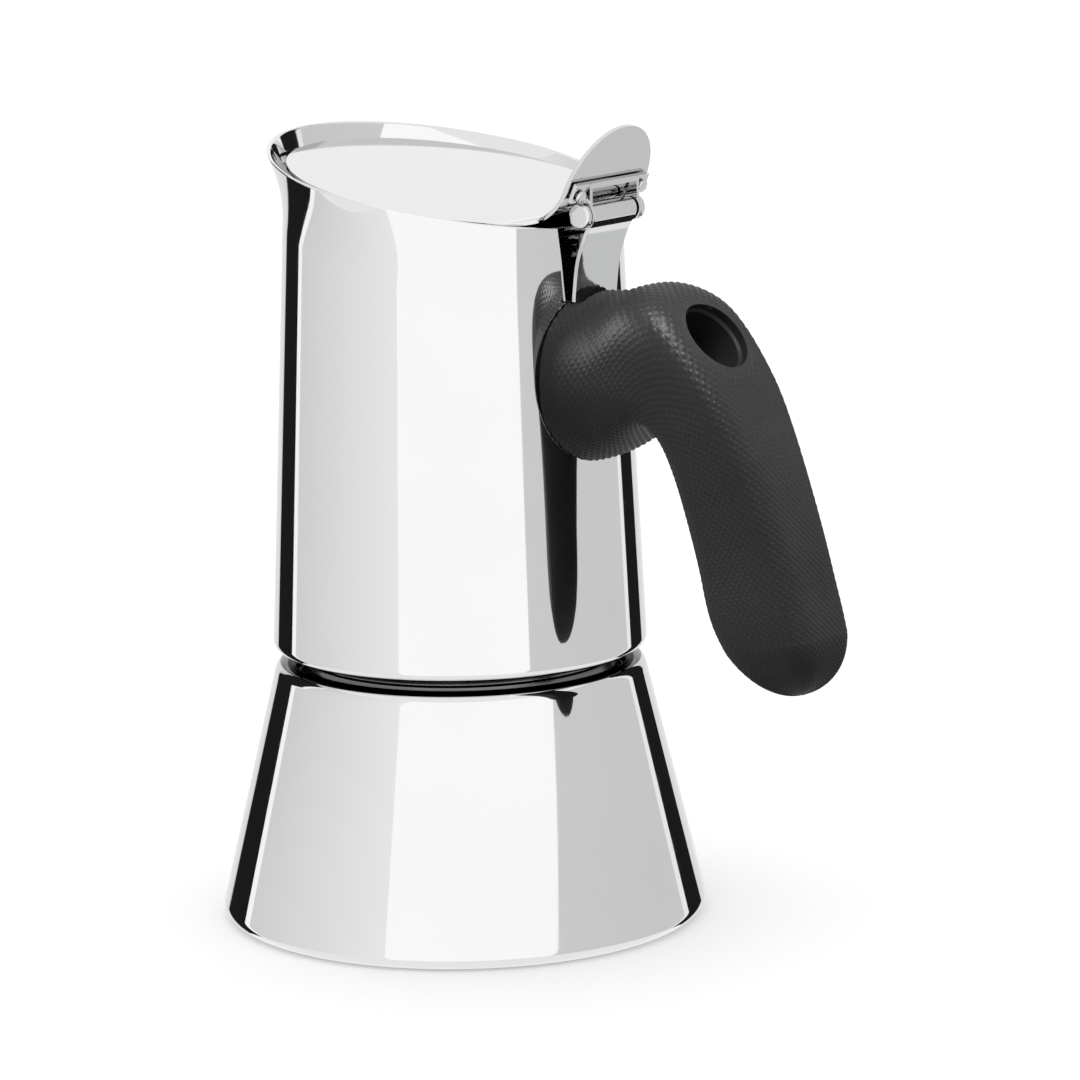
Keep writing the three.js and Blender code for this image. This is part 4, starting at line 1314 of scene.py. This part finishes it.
# %% Funnel, stem and gasket
SPUN = 0.6
CUP_RADIUS = 22.6
STEM_BORE = 3.2
GASKET_BORE = 21.9
cup_low, cup_high = span("funnel_basket")
stem_low, stem_high = span("funnel_stem")
flange_z = cup_high[2] - SPUN
socket_radius = stem_high[0] + 0.3
cup = turned("spun_funnel", [
    (cup_high[0], flange_z, 0.2),
    (cup_high[0], cup_high[2], 0.2),
    (CUP_RADIUS, cup_high[2], 1.0),
    (CUP_RADIUS - 0.3, 37.0, 1.6, 6),
    (6.5, 30.4, 2.0),
    (socket_radius, 29.6, 0.6),
    (socket_radius, cup_low[2], 0.15),
    (socket_radius + SPUN, cup_low[2], 0.15),
    (socket_radius + SPUN, 29.1, 1.0),
    (6.8, 29.8, 1.8),
    (CUP_RADIUS + 0.35, 36.6, 2.1),
    (CUP_RADIUS + 0.7, flange_z, 0.7),
], sides=192, steps=6)
finish_piece(cup, "funnel", SATIN, turned_steel, "funnel_basket")

stem = turned("funnel_tube", [
    (STEM_BORE, stem_low[2], 0.25),
    (stem_high[0], stem_low[2], 0.35),
    (stem_high[0], stem_high[2], 0.15),
    (STEM_BORE, stem_high[2], 0.15),
], sides=96, steps=5)
finish_piece(stem, "funnel", SATIN, turned_steel, "funnel_stem")

gasket = turned("sealing_ring", [
    (GASKET_BORE, gasket_low[2], 0.5),
    (gasket_high[0], gasket_low[2], 0.7),
    (gasket_high[0], gasket_high[2], 0.7),
    (GASKET_BORE, gasket_high[2], 0.5),
], sides=160, steps=6)
finish_piece(gasket, "gasket", "seal_rubber", seal_silicone, "gasket")

# %% [markdown]
# ## Perforated plates
# Both filters are thin discs with rings of small holes. Cutting hundreds of holes with Booleans
# would be slow and fragile, so a node tree draws them as curves: one big circle, and a small one
# on each point of the rings. Fill Curve turns the lot into a face with holes, and one
# extrusion gives the sheet its thickness.

# %% Geometry Nodes: perforated discs
HOLE_CORNERS, DISC_CORNERS, WIRE_CORNERS = 12, 96, 12
WELD = 0.01 * MM


def hole_places(rings, spacing, twist):
    """Points on rings round the axis: six on the first, and six more on each one after it."""
    places = []
    for layer in range(1, rings + 1):
        reach = spacing * layer
        for i in range(6 * layer):
            angle = 2 * math.pi * i / (6 * layer) + twist * layer
            places.append((reach * math.cos(angle), reach * math.sin(angle), 0))
    return places


def circle_node(tree, radius, corners):
    made = add_node(tree, "GeometryNodeCurvePrimitiveCircle", {
        "Resolution": corners, "Radius": radius})
    return made.outputs["Curve"]


def join(tree, *parts):
    made = add_node(tree, "GeometryNodeJoinGeometry", {"Geometry": list(parts)})
    return made.outputs["Geometry"]


def perforate_tree(name, material):
    tree, inside = node_group(name, "GeometryNodeTree", {
        "Geometry": None,
        "Disc Radius": 0.02,
        "Hole Radius": 0.0005,
        "Thickness": 0.0006}, {"Geometry": None})
    scatter = add_node(tree, "GeometryNodeInstanceOnPoints", {
        "Points": inside["Geometry"],
        "Instance": circle_node(tree, inside["Hole Radius"], HOLE_CORNERS)})
    holes = add_node(tree, "GeometryNodeRealizeInstances", {
        "Geometry": scatter.outputs["Instances"]})
    rim = circle_node(tree, inside["Disc Radius"], DISC_CORNERS)
    face = add_node(tree, "GeometryNodeFillCurve", {
        "Curve": join(tree, rim, holes.outputs["Geometry"])}, mode="NGONS").outputs["Mesh"]
    push = add_node(tree, "GeometryNodeExtrudeMesh", {
        "Mesh": face, "Offset Scale": inside["Thickness"], "Individual": False})
    under = add_node(tree, "GeometryNodeFlipFaces", {"Mesh": face})
    merged = add_node(tree, "GeometryNodeMergeByDistance", {
        "Geometry": join(tree, push.outputs["Mesh"], under.outputs["Mesh"]),
        "Distance": WELD})
    return end_tree(tree, merged.outputs["Geometry"], material)


RING_TWIST = 0.13
perforate = perforate_tree("perforated_disc", turned_steel)
for name, node, body, rings, spacing, hole in (
        ("funnel_sieve", "funnel_screen", "funnel", 8, 2.45, 0.55),
        ("filter_sieve", "filter_plate", "filter", 9, 2.2, 0.42)):
    plate_low, plate_high = span(node)
    sieve = mesh_object(name, np.array(hole_places(rings, spacing, RING_TWIST)), [])
    run_tree(sieve, perforate, {
        "Disc Radius": plate_high[0] * MM,
        "Hole Radius": hole * MM,
        "Thickness": float(plate_high[2] - plate_low[2]) * MM})
    lifted = Matrix.Translation((0, 0, plate_low[2] * MM))
    print(name, "open edges:", set_down(sieve, lifted))
    shade_by_angle(sieve, 35)
    finish_piece(sieve, body, SATIN, turned_steel, node)

# %% [markdown]
# ## Safety valve
# The valve lies square to the boiler's leaning side. Its small pieces are spun on the same
# axis, and the spring is a wire coil from a node tree: a spiral with a round section, whose ends
# are closed by the fill caps of Curve to Mesh.

# %% Valve pieces on their leaning axis
VALVE_Z = 27.0
valve_axis = (Matrix.Translation((0, cone_radius(VALVE_Z), VALVE_Z))
              @ Matrix.Rotation(CONE_LEAN - math.pi / 2, 4, "X"))
washer = turned("valve_seal", [
    (3.5, -2.7, 0.2),
    (5.6, -2.7, 0.3),
    (5.6, -1.8, 0.3),
    (3.5, -1.8, 0.2),
], sides=64, steps=5, place=valve_axis)
finish_piece(washer, "boiler", SATIN, turned_steel, "valve_washer")
plunger = turned("valve_stem", [
    (0, -1.2, 0),
    (1.3, -1.1, 0.6),
    (2.7, 0.4, 0.4),
    (2.7, 1.3, 0.15),
    (1.0, 1.3, 0.15),
    (1.0, 9.0, 0.3),
    (0, 9.2, 0),
], closed=False, sides=48, steps=5, place=valve_axis)
finish_piece(plunger, "valve_pin", BRASS, valve_brass, "valve_plunger")
retainer = turned("valve_collar", [
    (1.4, 6.6, 0.15),
    (2.8, 6.6, 0.2),
    (2.8, 7.7, 0.25),
    (1.4, 7.7, 0.2),
], sides=48, steps=4, place=valve_axis)
finish_piece(retainer, "boiler", BRASS, valve_brass, "valve_retainer")


# %% Geometry Nodes: the coil spring
COIL_STEPS = 40
SPRING_BASE = 2.5


def coil_tree(name, material):
    tree, inside = node_group(name, "GeometryNodeTree", {
        "Geometry": None,
        "Coil Radius": 0.00195,
        "Wire Radius": 0.0003,
        "Length": 0.0034,
        "Turns": 3.5}, {"Geometry": None})
    spiral = add_node(tree, "GeometryNodeCurveSpiral", {
        "Resolution": COIL_STEPS,
        "Rotations": inside["Turns"],
        "Start Radius": inside["Coil Radius"],
        "End Radius": inside["Coil Radius"],
        "Height": inside["Length"]})
    wire = add_node(tree, "GeometryNodeCurveToMesh", {
        "Curve": spiral.outputs["Curve"],
        "Profile Curve": circle_node(tree, inside["Wire Radius"], WIRE_CORNERS),
        "Fill Caps": True})
    return end_tree(tree, wire.outputs["Mesh"], material)


spring = mesh_object("valve_coil", np.zeros((1, 3)), [])
run_tree(spring, coil_tree("coil_spring", turned_steel), {
    "Coil Radius": 1.95 * MM,
    "Wire Radius": 0.31 * MM,
    "Length": 3.4 * MM,
    "Turns": 3.5})
in_metres = Matrix.Translation(valve_axis.translation * MM) @ valve_axis.to_3x3().to_4x4()
set_down(spring, in_metres @ Matrix.Translation((0, 0, SPRING_BASE * MM)))
spring.data.shade_smooth()
finish_piece(spring, "boiler", SATIN, turned_steel, "valve_spring")
